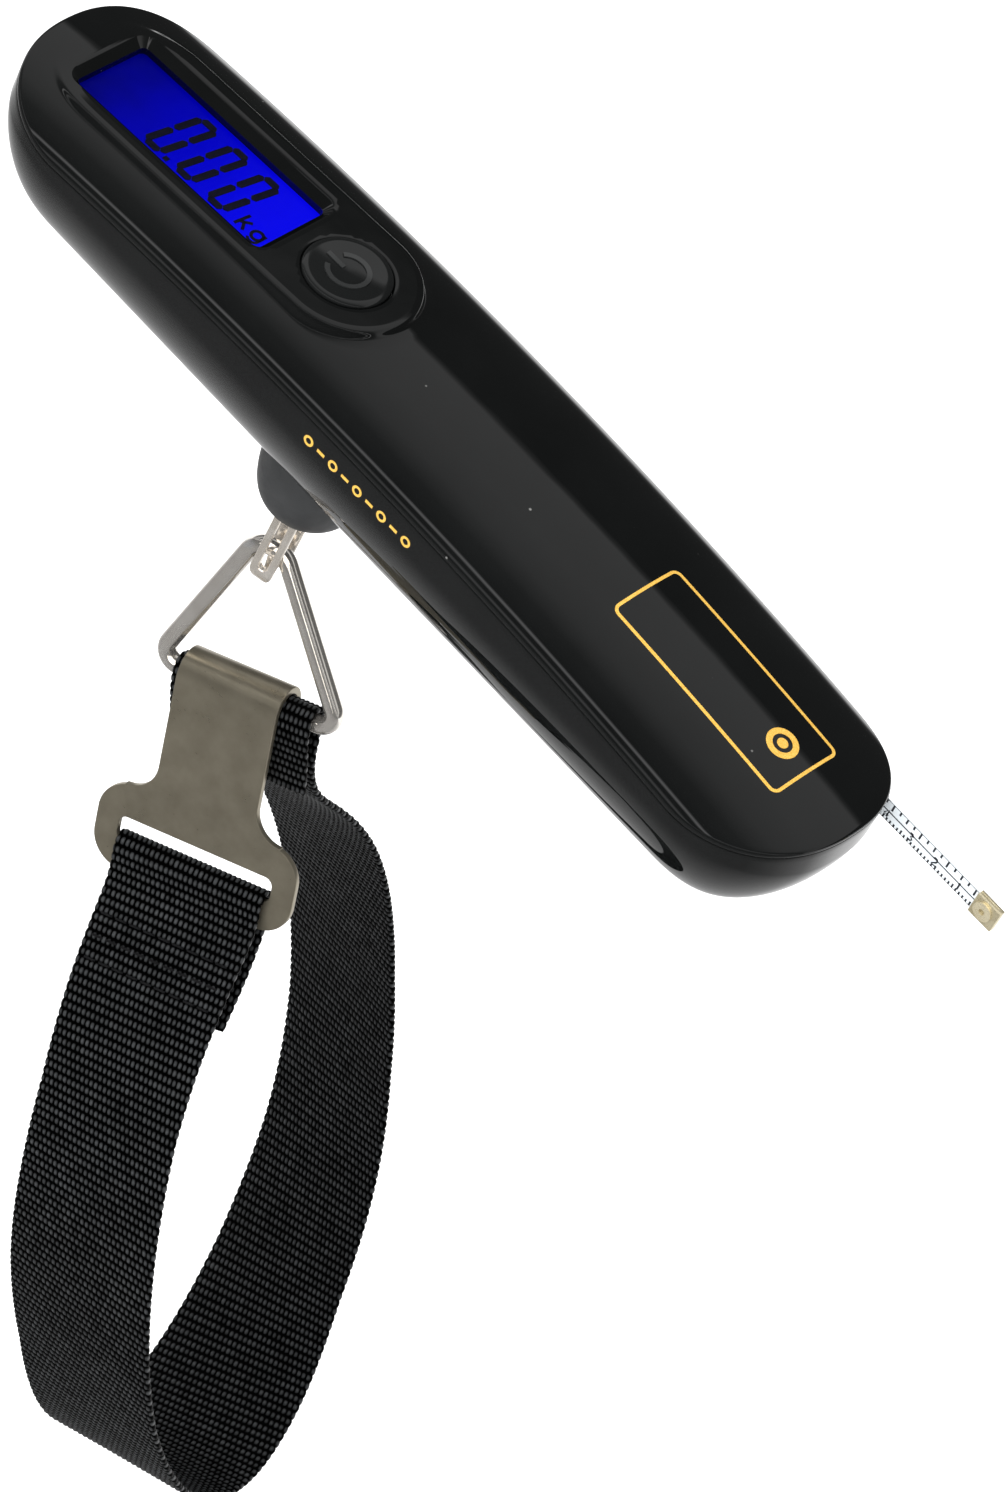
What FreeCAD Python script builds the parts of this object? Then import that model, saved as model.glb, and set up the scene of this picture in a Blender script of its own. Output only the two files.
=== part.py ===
"""Digital luggage scale with a built-in tape measure, in millimetres.

The origin is on the axis of the hanging pin, level with the flat underside of the
housing. +X runs towards the tape end, +Z towards the display side.
"""
import FreeCAD
import Part
import math
import os

V = FreeCAD.Vector

# ---- housing -------------------------------------------------------------------
HOUSING_LEFT = -70.4        # display end
HOUSING_RIGHT = 101.1       # tape end
HOUSING_WIDTH = 39.0
HOUSING_HEIGHT = 29.0       # crest of the arched top above the flat underside
END_LENGTH = 20.0           # length of each rounded end in plan
END_POWER = 2.3             # superellipse power of the rounded ends
ARCH_RADIUS = 750.0         # lengthwise arch of the top
CROWN_HEIGHT = 7.0          # sideways crown of the top
CROWN_HALF_WIDTH = 20.2
BELLY_TOP = 18.0            # height where the vertical side band ends
BELLY_INSET = 11.0          # how far the belly pulls in at the underside
BELLY_POWER = 1.5
WALL = 1.8
LID_EDGE = 0.8              # thickness of the lid's thin edge over the tub's rim
SEAM_GAP = 0.12
MID_X = (HOUSING_LEFT + HOUSING_RIGHT) / 2

# ---- raised control pad ----------------------------------------------------------
DISPLAY_X = -41.1
PAD_Z = 26.5                # height of the pad's plane over the display's centre
PAD_TILT = 4.5              # degrees, rising towards the tape end
PAD_HALF_WIDTH = 12.0
BUTTON_OFFSET = 31.0        # display centre to button centre, along the pad
BUTTON_RADIUS = 7.0
BUTTON_GAP = 0.15
BUTTON_TRAVEL = 0.5
WINDOW_LENGTH = 39.2
WINDOW_WIDTH = 14.6
WINDOW_FLARE = 1.5          # how far the window recess opens out at the pad's plane
RECESS_DEPTH = 1.5

# ---- hanging gear ----------------------------------------------------------------
PIN_RADIUS = 2.5
BOSS_DROP = 14.2
EYE_X = -1.2                # centre of the ring wire where it passes the eyelet
EYE_Z = -26.3
STRIP_THICKNESS = 1.1
STRIP_WIDTH = 4.0
EYE_HALF_GAP = 2.5          # half the clear gap between the eyelet's legs
EYE_SLACK = 3.0             # free room in the eyelet under the ring's wire
WIRE_RADIUS = 1.5
RING_BASE = 32.9            # between the sharp corners of the wire's centreline
RING_HEIGHT = 31.6          # sharp apex to bottom bar
RING_APEX_BEND = 4.0
RING_CORNER_BEND = 2.5
EYELET_TURN = 13.6          # degrees, resting turn of the eyelet about the pin
RING_TILT = -18.7           # degrees, resting tilt of the ring in its own plane
RING_SWAY = -10.5           # degrees, resting sway of the ring about its wire
HOOK_SWAY = -5.4            # degrees, resting turn of the hook about the ring's bar

# ---- hook plate ------------------------------------------------------------------
HOOK_THICKNESS = 1.2
HOOK_OFFSET = -1.8
HOOK_NECK_HALF = 8.9
HOOK_HEAD_HALF = 17.8
HOOK_SHOULDER_Z = -20.8
HOOK_BOTTOM_Z = -35.6
HOOK_SLOT_TOP = -26.4
HOOK_SLOT_HEIGHT = 4.2
HOOK_SLOT_HALF = 13.8
CURL_INNER_RADIUS = 2.85
CURL_SWEEP = 180.0

# ---- webbing ---------------------------------------------------------------------
WEB_WIDTH = 30.0
WEB_BAR_WIDTH = 24.6        # webbing gathered between the ring's corners
WEB_SLOT_WIDTH = 26.6       # webbing gathered in the hook's slot
WEB_THICKNESS = 1.2

# ---- tape measure ----------------------------------------------------------------
SPOOL_X = 80.0
TAPE_Y = 11.5
TAPE_Z = 19.3
TAPE_WIDTH = 3.6
TAPE_THICKNESS = 0.2
TAPE_INNER_X = 22.0         # hidden inner end of the straight blade
TAPE_OUT_X = 121.5          # outer end of the straight blade at rest
CASSETTE_RADIUS = 13.4

# ---- inside ----------------------------------------------------------------------
CELL_RADIUS = 5.15
CELL_LENGTH = 43.2
CELL_Y = 5.4
CELL_Z = 7.85
CELL_LEFT = -59.8
BEAM_BOTTOM = 6.0
BEAM_TOP = 17.0
BEAM_END = 57.0
# plan position of each case screw and the height its head bears on
SCREW_SPOTS = ((-66.0, 0.0, 11.2), (61.5, 5.8, 3.2), (61.5, -5.8, 3.2), (96.5, 0.0, 11.2))
SHELL_SPLIT_Z = 13.0        # where the screw posts of the two shells meet


# ---- general helpers -------------------------------------------------------------
def box(x0, x1, y0, y1, z0, z1):
    return Part.makeBox(x1 - x0, y1 - y0, z1 - z0, V(x0, y0, z0))


def rod(radius, z0, z1, x=0.0, y=0.0):
    return Part.makeCylinder(radius, z1 - z0, V(x, y, z0))


def rod_along(radius, length, start, direction):
    return Part.makeCylinder(radius, length, start, direction)


def tube(outer, inner, z0, z1, x=0.0, y=0.0):
    return rod(outer, z0, z1, x, y).cut(rod(inner, z0 - 1, z1 + 1, x, y))


def prism(points, z0, z1):
    corners = [V(x, y, z0) for x, y in points]
    return Part.Face(Part.makePolygon(corners + corners[:1])).extrude(V(0, 0, z1 - z0))


def rounded_slab(cx, cy, length, width, radius, z0, z1):
    slab = box(cx - length / 2, cx + length / 2, cy - width / 2, cy + width / 2, z0, z1)
    uprights = [e for e in slab.Edges if abs(e.tangentAt(e.FirstParameter).z) > 0.9]
    return slab.makeFillet(radius, uprights)


def stadium(x0, x1, radius, z0, z1):
    """A slab with a half-round at each end, running along X."""
    middle = box(x0 + radius, x1 - radius, -radius, radius, z0, z1)
    return middle.fuse([rod(radius, z0, z1, x0 + radius), rod(radius, z0, z1, x1 - radius)]).removeSplitter()


def placed(shape, frame):
    return shape.transformed(frame.toMatrix(), True)


def joined(shapes):
    return shapes[0].fuse(shapes[1:]).removeSplitter()


PAD_FRAME = FreeCAD.Placement(V(DISPLAY_X, 0, PAD_Z), FreeCAD.Rotation(V(0, 1, 0), -PAD_TILT))
RING_TURN = FreeCAD.Rotation(EYELET_TURN, RING_TILT, RING_SWAY)


# ---- housing ---------------------------------------------------------------------
def end_points(side, inset, z, count=17):
    """Points of one rounded end of the plan outline, pulled in by inset."""
    half = HOUSING_WIDTH / 2
    tip = HOUSING_RIGHT if side > 0 else HOUSING_LEFT
    points = []
    for i in range(count):
        angle = math.pi * (i / (count - 1) - 0.5)
        along = max(math.cos(angle), 0.0) ** (2 / END_POWER)
        across = math.copysign(abs(math.sin(angle)) ** (2 / END_POWER), math.sin(angle))
        normal = V(along ** (END_POWER - 1) / END_LENGTH,
                   math.copysign(abs(across) ** (END_POWER - 1), across) / half, 0)
        normal.normalize()
        x = END_LENGTH * along - inset * normal.x
        y = half * across - inset * normal.y
        points.append(V(tip - side * END_LENGTH + side * x, side * y, z))
    return points


def plan_wire(inset, z):
    """Closed plan outline of the housing at height z."""
    right = end_points(1, inset, z)
    left = end_points(-1, inset, z)
    edges = []
    for points, direction in ((right, V(1, 0, 0)), (left, V(-1, 0, 0))):
        curve = Part.BSplineCurve()
        curve.interpolate(Points=points, InitialTangent=direction, FinalTangent=direction * -1)
        edges.append(curve.toShape())
    edges.insert(1, Part.makeLine(right[-1], left[0]))
    edges.append(Part.makeLine(left[-1], right[0]))
    return Part.Wire(edges)


def belly_inset(z):
    depth = min(max((BELLY_TOP - z) / BELLY_TOP, 0.0), 1.0)
    return BELLY_INSET * (1 - (1 - depth ** BELLY_POWER) ** (1 / BELLY_POWER))


def tub(inset, floor):
    """Solid bowl of the housing with all its sides pulled in by inset."""
    steps = 8
    wires = []
    for i in range(steps + 1):
        z = floor + (BELLY_TOP - floor) * math.sin(math.pi / 2 * i / steps)
        wires.append(plan_wire(inset + belly_inset(z), z))
    bowl = Part.makeLoft(wires, True, False)
    band = Part.Face(plan_wire(inset, BELLY_TOP)).extrude(V(0, 0, 25))
    return bowl.fuse(band)


def under_lid(drop):
    """Everything below the arched, crowned top surface lowered by drop."""
    top = HOUSING_HEIGHT - drop
    shoulder = top - CROWN_HEIGHT
    ellipse = Part.Ellipse(V(MID_X, CROWN_HALF_WIDTH, shoulder), V(MID_X, 0, top), V(MID_X, 0, shoulder))
    crown = Part.Arc(ellipse, 0, math.pi).toShape()
    low = -40.0
    corners = [V(MID_X, -CROWN_HALF_WIDTH, shoulder), V(MID_X, -CROWN_HALF_WIDTH, low),
               V(MID_X, CROWN_HALF_WIDTH, low), V(MID_X, CROWN_HALF_WIDTH, shoulder)]
    profile = Part.Face(Part.Wire([crown] + Part.makePolygon(corners).Edges))
    centre = V(MID_X, 0, HOUSING_HEIGHT - ARCH_RADIUS)
    half_angle = 9.0
    profile.rotate(centre, V(0, 1, 0), -half_angle)
    return profile.revolve(centre, V(0, 1, 0), 2 * half_angle)


def below_pad_plane():
    return placed(box(-60, 90, -30, 30, -60, 0), PAD_FRAME)


def pad_prism(inset):
    """Column of the pad: open at the display end, half-round beyond the button."""
    radius = PAD_HALF_WIDTH - inset
    return stadium(HOUSING_LEFT - 30, DISPLAY_X + BUTTON_OFFSET + radius, radius, 15, 40)


def window_recess():
    """Recess over the display, flaring out towards the pad's plane."""
    wires = []
    for grow, z in ((0.0, -RECESS_DEPTH), (WINDOW_FLARE, 0.01)):
        slab = rounded_slab(0, 0, WINDOW_LENGTH + 2 * grow, WINDOW_WIDTH + 2 * grow, 1.0 + grow, z, z + 1)
        wires.append(min(slab.Faces, key=lambda f: f.CenterOfMass.z).OuterWire)
    flare = Part.makeLoft(wires, True, True)
    throat = rounded_slab(0, 0, WINDOW_LENGTH, WINDOW_WIDTH, 1.0, -RECESS_DEPTH - 3, -RECESS_DEPTH + 0.01)
    return placed(flare.fuse(throat), PAD_FRAME)


def tape_mouth_cut(extra):
    return box(90, 110, TAPE_Y - 0.7 - extra, TAPE_Y + 0.7 + extra,
               TAPE_Z - TAPE_WIDTH / 2 - 0.4 - extra, TAPE_Z + TAPE_WIDTH / 2 + 0.4 + extra)


def door_block(gap):
    return box(-59.9 + gap, -14.9 - gap, -10.2 + gap, 10.2 - gap, -1, 3.4)


def housing_parts():
    outer = tub(0, 0).common(under_lid(0))
    cavity = tub(WALL, WALL)
    column = tub(WALL + 0.1, WALL)
    lid_underside = under_lid(WALL)

    rim = under_lid(LID_EDGE).cut(column)
    top = outer.cut(lid_underside).cut(rim)
    pad = pad_prism(0)
    plane = below_pad_plane()
    top = top.cut(pad.cut(plane))
    top = top.fuse(pad.common(plane).common(tub(0, 0)).cut([lid_underside, rim]))
    pocket = placed(box(-23.5, 45.0, -10.8, 10.8, -12, -RECESS_DEPTH), PAD_FRAME)
    top = top.cut([pocket.common(pad_prism(1.2)), window_recess()])
    button_hole = placed(rod(BUTTON_RADIUS + BUTTON_GAP, -8, 8, BUTTON_OFFSET), PAD_FRAME)
    top = top.cut(button_hole)
    posts = [rod(2.6, SHELL_SPLIT_Z, 30, x, y) for x, y, _ in SCREW_SPOTS]
    post_room = under_lid(WALL - 0.3).common(tub(WALL + 0.3, WALL))
    top = top.fuse([p.common(post_room) for p in posts])
    top = top.cut([rod(1.2, SHELL_SPLIT_Z - 1, 19.5, x, y) for x, y, _ in SCREW_SPOTS])

    bottom = tub(0, 0).common(under_lid(LID_EDGE + SEAM_GAP)).cut(cavity)
    shafts = [rod(2.9, 1.0, SHELL_SPLIT_Z, x, y) for x, y, _ in SCREW_SPOTS]
    sleeves = [rod(3.4, 1.0, seat + 1.2, x, y) for x, y, seat in SCREW_SPOTS]
    bottom = bottom.fuse([s.common(tub(0.5, 0.5)) for s in shafts + sleeves])
    bottom = bottom.cut([rod(1.35, -1, SHELL_SPLIT_Z + 1, x, y) for x, y, _ in SCREW_SPOTS])
    bottom = bottom.cut([rod(2.55, -1, seat, x, y) for x, y, seat in SCREW_SPOTS])
    door_skin = tub(0, 0).cut(cavity)
    door = door_skin.common(door_block(0.15))
    bottom = bottom.cut([door_block(0.0), rod(6.05, -2, 4), tape_mouth_cut(0.43)])
    return {"top_shell": top.removeSplitter(), "bottom_shell": bottom.removeSplitter(),
            "battery_door": door}


def case_screws():
    screws = []
    for x, y, seat in SCREW_SPOTS:
        head = rod(2.35, seat - 1.9, seat, x, y)
        for turn in (0, 90):
            groove = box(-1.5, 1.5, -0.3, 0.3, seat - 2.5, seat - 1.0)
            groove.rotate(V(0, 0, 0), V(0, 0, 1), turn)
            groove.translate(V(x, y, 0))
            head = head.cut(groove)
        screws.append(head.fuse(rod(1.15, seat, 18.0, x, y)).removeSplitter())
    return Part.makeCompound(screws)


# ---- display, button and board ---------------------------------------------------
def power_button():
    cap = rod(BUTTON_RADIUS, -1.6, 0.5, BUTTON_OFFSET)
    cap = cap.makeFillet(0.5, [e for e in cap.Edges if e.CenterOfMass.z > 0.4 and len(e.Vertexes) < 3])
    dish = Part.makeSphere(60, V(BUTTON_OFFSET, 0, 60.25))
    cap = cap.cut(dish)
    flange = rod(8.2, -2.6, -1.6, BUTTON_OFFSET)
    post = rod(1.5, -4.6, -2.6, BUTTON_OFFSET)
    icon_ring = tube(3.6, 2.8, -0.2, 0.42, BUTTON_OFFSET)
    icon_ring = icon_ring.cut(box(BUTTON_OFFSET - 5, BUTTON_OFFSET - 1, -1.3, 1.3, -1, 1))
    icon_bar = rounded_slab(BUTTON_OFFSET - 2.6, 0, 3.4, 0.8, 0.39, -0.2, 0.42)
    return placed(joined([cap, flange, post, icon_ring, icon_bar]), PAD_FRAME)


def display_parts():
    parts = {}
    parts["window_lens"] = rounded_slab(0, 0, 42.6, 18.0, 1.5, -2.5, -RECESS_DEPTH)
    parts["lcd_panel"] = box(-20.6, 20.6, -8.5, 8.5, -4.3, -2.7)
    parts["backlight_guide"] = box(-20.6, 20.6, -6.7, 8.3, -6.3, -4.4)
    frame = rounded_slab(0, 0, 44.2, 20.6, 1.0, -7.9, -3.4)
    inside = box(-20.8, 20.8, -8.7, 8.7, -9, -2)
    parts["display_frame"] = frame.cut(inside)
    parts["zebra_strip"] = box(-19.5, 19.5, -8.4, -7.0, -8.0, -4.3)
    board = rounded_slab(7.5, 0, 59.0, 20.0, 1.0, -9.2, -8.0)
    parts["main_board"] = board
    chips = [box(-14, -5, -4.5, 4.5, -10.3, -9.2), box(1, 7, -2.5, 2.5, -10.2, -9.2),
             box(11, 13.4, -6, -2.5, -10.4, -9.2), box(17, 18.6, 2, 5.2, -10.0, -9.2),
             box(21, 22.6, -5, -1.8, -10.0, -9.2)]
    parts["board_components"] = Part.makeCompound(chips)
    body = box(BUTTON_OFFSET - 3, BUTTON_OFFSET + 3, -3, 3, -8.0, -5.4)
    parts["switch_body"] = body.cut(rod(1.75, -6.8, -5, BUTTON_OFFSET))
    parts["switch_plunger"] = rod(1.7, -6.2, -4.6, BUTTON_OFFSET)
    return {name: placed(shape, PAD_FRAME) for name, shape in parts.items()}


# ---- batteries -------------------------------------------------------------------
def coil_spring(start, length, radius, wire_radius, turns):
    """Coil spring along X whose wire has a six-sided section."""
    steps = 12 * turns
    sections = []
    for i in range(steps + 1):
        angle = 2 * math.pi * i / 12
        outward = V(0, math.cos(angle), math.sin(angle))
        centre = start + V(length * i / steps, 0, 0) + outward * radius
        corners = []
        for k in range(6):
            bearing = math.pi * k / 3
            offset = outward * math.cos(bearing) + V(1, 0, 0) * math.sin(bearing)
            corners.append(centre + offset * wire_radius)
        sections.append(Part.makePolygon(corners + corners[:1]))
    return Part.makeLoft(sections, True, True)


def battery_parts():
    cells = []
    springs = []
    right_end = CELL_LEFT + CELL_LENGTH
    for side in (-1, 1):
        start = V(CELL_LEFT, side * CELL_Y, CELL_Z)
        can = rod_along(CELL_RADIUS, CELL_LENGTH, start, V(1, 0, 0))
        nub = rod_along(1.9, 1.4, start - V(1.39, 0, 0), V(1, 0, 0))
        cells.append(can.fuse(nub).removeSplitter())
        springs.append(coil_spring(V(right_end + 0.4, side * CELL_Y, CELL_Z), 3.8, 2.6, 0.3, 3))
    plates = [box(-61.7, -61.25, -7.4, 7.4, 5.9, 11.2)]
    plates.append(box(-11.95, -11.5, -10, -0.6, 4.2, 11.0))
    plates.append(box(-11.95, -11.5, 0.6, 10, 4.2, 11.0))
    tray = joined([box(-62.4, -10.4, -10.6, 10.6, 13.1, 14.1),
                   box(-62.4, -61.8, -6.6, 6.6, 6.6, 13.5),
                   box(-11.4, -10.4, -10.6, 10.6, 3.8, 13.5)])
    return {"battery_cells": Part.makeCompound(cells), "contact_springs": Part.makeCompound(springs),
            "contact_plates": Part.makeCompound(plates), "battery_tray": tray}


# ---- load path -------------------------------------------------------------------
def load_parts():
    beam = box(-7.5, BEAM_END, -6, 6, BEAM_BOTTOM, BEAM_TOP)
    mid_z = (BEAM_BOTTOM + BEAM_TOP) / 2
    windows = [rod_along(4.0, 20, V(x, -10, mid_z), V(0, 1, 0)) for x in (19.0, 29.0)]
    slit = box(19, 29, -10, 10, mid_z - 1, mid_z + 1)
    anchors = (44.0, 52.0)
    holes = [rod(2.1, 0, 20, x) for x in anchors]
    beam = beam.cut(windows + [slit, rod(PIN_RADIUS + 0.08, 0, 20)] + holes)
    bracket = box(39.5, BEAM_END, -7, 7, WALL, BEAM_BOTTOM).cut(holes)
    screws = [rod(2.05, 2.4, BEAM_TOP, x).fuse(rod(3.6, BEAM_TOP, 19.4, x)).removeSplitter()
              for x in anchors]
    hex_cut = [prism([(x + 1.6 * math.cos(math.radians(60 * k)), 1.6 * math.sin(math.radians(60 * k)))
                      for k in range(6)], 18.0, 20.0) for x in anchors]
    screws = [s.cut(hex_cut) for s in screws]
    gauges = []
    for x in (19.0, 29.0):
        gauges.append(box(x - 2.5, x + 2.5, -1.6, 1.6, BEAM_TOP, BEAM_TOP + 0.15))
        gauges.append(box(x - 2.5, x + 2.5, -1.6, 1.6, BEAM_BOTTOM - 0.15, BEAM_BOTTOM))
    washer = tube(4.6, PIN_RADIUS + 0.08, BEAM_TOP, BEAM_TOP + 0.5)
    return {"load_cell": beam, "load_cell_bracket": bracket,
            "anchor_screws": Part.makeCompound(screws),
            "strain_gauges": Part.makeCompound(gauges), "pin_washer": washer}


def signal_cable():
    """Four-core cable from the strain gauges to the board."""
    points = [V(16.2, 0.0, 17.6), V(12.0, 3.5, 18.6), V(6.5, 5.9, 18.9), V(0.0, 6.6, 18.7), V(-6.5, 6.6, 19.1)]
    curve = Part.BSplineCurve()
    curve.interpolate(points)
    path = Part.Wire(curve.toShape())
    section = Part.Wire(Part.makeCircle(0.55, points[0], curve.tangent(curve.FirstParameter)[0]))
    return path.makePipeShell([section], True, True)


def boss_cup():
    """Soft-edged cup that the hanging pin comes out of."""
    outline = Part.BSplineCurve()
    outline.interpolate([V(9.4, 0, 0.0), V(9.25, 0, -4.5), V(8.6, 0, -9.0), V(7.3, 0, -12.3), V(5.0, 0, -BOSS_DROP)])
    points = [V(5.0, 0, -BOSS_DROP), V(4.6, 0, -BOSS_DROP), V(4.6, 0, -8.6), V(2.8, 0, -8.6), V(2.8, 0, 3.4),
              V(5.95, 0, 3.4), V(5.95, 0, 0.0), V(9.4, 0, 0.0)]
    wire = Part.Wire([outline.toShape()] + Part.makePolygon(points).Edges)
    return Part.Face(wire).revolve(V(0, 0, 0), V(0, 0, 1), 360)


def hanging_pin():
    return rod(PIN_RADIUS, -9.6, 20.4)


def pin_nut():
    corners = [(4.6 * math.cos(math.radians(60 * k)), 4.6 * math.sin(math.radians(60 * k))) for k in range(6)]
    return prism(corners, BEAM_TOP + 0.55, BEAM_TOP + 3.0).cut(rod(PIN_RADIUS, 10, 25))


# ---- ring, hook and webbing ------------------------------------------------------
APEX_HALF_ANGLE = math.atan2(RING_BASE / 2, RING_HEIGHT)
APEX_ROUNDING = RING_APEX_BEND * (1 / math.sin(APEX_HALF_ANGLE) - 1)
BAR_DROP = RING_HEIGHT - APEX_ROUNDING
RING_FRAME = FreeCAD.Placement(V(EYE_X, 0, EYE_Z), RING_TURN)
BAR_CENTRE = RING_FRAME.multVec(V(0, 0, -BAR_DROP))
HOOK_FRAME = FreeCAD.Placement(BAR_CENTRE, RING_TURN.multiply(FreeCAD.Rotation(V(1, 0, 0), HOOK_SWAY)))


def eyelet():
    """Bent steel strip: two legs under a yoke, closed by a round bend that carries the ring."""
    inner = EYE_HALF_GAP
    outer = inner + STRIP_THICKNESS
    half = STRIP_WIDTH / 2
    bend_z = EYE_Z - WIRE_RADIUS - EYE_SLACK + inner
    yoke_top = -9.6
    gap_top = yoke_top - 2.6
    bend = rod_along(outer, STRIP_WIDTH, V(-half, 0, bend_z), V(1, 0, 0))
    loop = bend.fuse(box(-half, half, -outer, outer, bend_z, yoke_top))
    hole = rod_along(inner, 10, V(-5, 0, bend_z), V(1, 0, 0)).fuse(box(-5, 5, -inner, inner, bend_z, gap_top))
    loop = loop.removeSplitter().cut(hole)
    slot_low = bend_z + 1.2
    slot_high = gap_top - 0.4
    slot = box(-0.75, 0.75, -6, 0, slot_low, slot_high)
    slot_ends = [rod_along(0.75, 6, V(0, -6, z), V(0, 1, 0)) for z in (slot_low, slot_high)]
    loop = loop.cut(slot.fuse(slot_ends))
    loop.rotate(V(0, 0, 0), V(0, 0, 1), EYELET_TURN)
    return loop


def bend_corner(before, corner, after, radius):
    """Start, middle and end points of the arc that rounds one corner of a path."""
    first = (before - corner).normalize()
    second = (after - corner).normalize()
    half = math.acos(first.dot(second)) / 2
    reach = radius / math.tan(half)
    inward = (first + second).normalize()
    middle = corner + inward * (radius / math.sin(half) - radius)
    return corner + first * reach, middle, corner + second * reach


def triangle_ring():
    corners = [V(0, 0, APEX_ROUNDING), V(-RING_BASE / 2, 0, -BAR_DROP), V(RING_BASE / 2, 0, -BAR_DROP)]
    radii = [RING_APEX_BEND, RING_CORNER_BEND, RING_CORNER_BEND]
    arcs = [bend_corner(corners[i - 1], corners[i], corners[(i + 1) % 3], radii[i]) for i in range(3)]
    edges = []
    for i in range(3):
        edges.append(Part.Arc(*arcs[i]).toShape())
        edges.append(Part.makeLine(arcs[i][2], arcs[(i + 1) % 3][0]))
    start = (arcs[1][2] + arcs[2][0]) * 0.5
    edges[3:4] = [Part.makeLine(arcs[1][2], start), Part.makeLine(start, arcs[2][0])]
    path = Part.Wire(edges[4:] + edges[:4])
    section = Part.Wire(Part.makeCircle(WIRE_RADIUS, start, V(1, 0, 0)))
    return placed(path.makePipeShell([section], True, True), RING_FRAME)


def hook_plate():
    front = -CURL_INNER_RADIUS - HOOK_THICKNESS
    neck = HOOK_NECK_HALF
    head = HOOK_HEAD_HALF
    shoulder = 5.0
    lobe = 5.5
    slab = box(-head, head, front, -CURL_INNER_RADIUS, HOOK_BOTTOM_Z, HOOK_SHOULDER_Z)
    corners = [e for e in slab.Edges if abs(e.tangentAt(e.FirstParameter).y) > 0.9]
    slab = slab.makeFillet(lobe, corners)
    stem = box(-neck, neck, front, -CURL_INNER_RADIUS, HOOK_SHOULDER_Z - 1, 0)
    web = box(-neck - shoulder, neck + shoulder, front, -CURL_INNER_RADIUS,
              HOOK_SHOULDER_Z - 0.5, HOOK_SHOULDER_Z + shoulder)
    scoops = [rod_along(shoulder, 10, V(s * (neck + shoulder), -8, HOOK_SHOULDER_Z + shoulder), V(0, 1, 0))
              for s in (-1, 1)]
    plate = joined([slab, stem, web.cut(scoops)])
    slot_mid = HOOK_SLOT_TOP - HOOK_SLOT_HEIGHT / 2
    radius = HOOK_SLOT_HEIGHT / 3
    slot = box(-HOOK_SLOT_HALF, HOOK_SLOT_HALF, -8, 0, slot_mid - HOOK_SLOT_HEIGHT / 2, HOOK_SLOT_TOP)
    ends = [e for e in slot.Edges if abs(e.tangentAt(e.FirstParameter).y) > 0.9]
    plate = plate.cut(slot.makeFillet(radius, ends))
    band = Part.Face(Part.makePolygon([V(-neck, front, 0), V(neck, front, 0), V(neck, -CURL_INNER_RADIUS, 0),
                                       V(-neck, -CURL_INNER_RADIUS, 0), V(-neck, front, 0)]))
    curl = band.revolve(V(0, 0, 0), V(1, 0, 0), -CURL_SWEEP)
    hook = plate.fuse(curl).removeSplitter()
    hook.translate(V(HOOK_OFFSET, 0, 0))
    return placed(hook, HOOK_FRAME)


# Centreline of the webbing in the hook's frame: sideways shift, depth, height and
# the turn of its width about the vertical, in degrees.
WEB_PATH = (
    (0.0, 1.0, -13.0, 0), (0.0, -0.9, -6.0, 0), (0.0, -2.18, -0.6, 0), (0.0, -1.76, 1.34, 0),
    (0.0, 0.0, 2.185, 0), (0.0, 1.76, 1.34, 0), (0.0, 2.21, -0.6, 0), (-0.4, 3.4, -7.0, -3),
    (-1.0, 8.5, -14.5, -8), (-1.6, 20.0, -22.5, -14),
    (-2.0, 35.0, -33.5, -18), (-2.2, 48.5, -49.0, -22), (-2.0, 59.0, -67.5, -26), (-1.0, 65.5, -90.0, -27),
    (0.2, 65.0, -113.0, -25), (0.2, 58.0, -134.0, -22), (0.0, 48.0, -149.0, -15), (-0.3, 34.0, -156.5, -9),
    (-0.7, 18.0, -153.0, -6), (-0.9, 5.0, -142.5, -9), (-1.0, -7.0, -125.0, -13), (-1.0, -15.5, -106.0, -12),
    (-1.0, -19.3, -86.0, -12), (-1.4, -18.0, -68.0, -11), (-1.8, -13.2, -52.0, -5), (-1.8, -7.9, -41.0, -2),
    (-1.8, -5.2, -33.3, 0), (-1.8, -4.85, -30.3, 0), (-1.8, -3.45, -29.3, 0), (-1.8, -2.1, -30.3, 0),
    (-1.8, -1.75, -35.6, 0), (-1.8, -3.9, -42.5, -2), (-1.8, -8.9, -52.0, -5),
)
WEB_BAR_STATIONS = 8        # the first stations wrap the ring's bar
WEB_SLOT_STATIONS = 8       # the last stations wrap the hook's lower bar


def web_half_width(station):
    """Half width at a station: gathered at the ring's bar and in the hook's slot."""
    last = len(WEB_PATH) - 1
    bar_share = min(max((station - WEB_BAR_STATIONS) / 3.0, 0.0), 1.0)
    slot_share = min(max((last - WEB_SLOT_STATIONS - station) / 3.0, 0.0), 1.0)
    width = WEB_BAR_WIDTH + (WEB_WIDTH - WEB_BAR_WIDTH) * bar_share
    return min(width, WEB_SLOT_WIDTH + (WEB_WIDTH - WEB_SLOT_WIDTH) * slot_share) / 2


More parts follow.
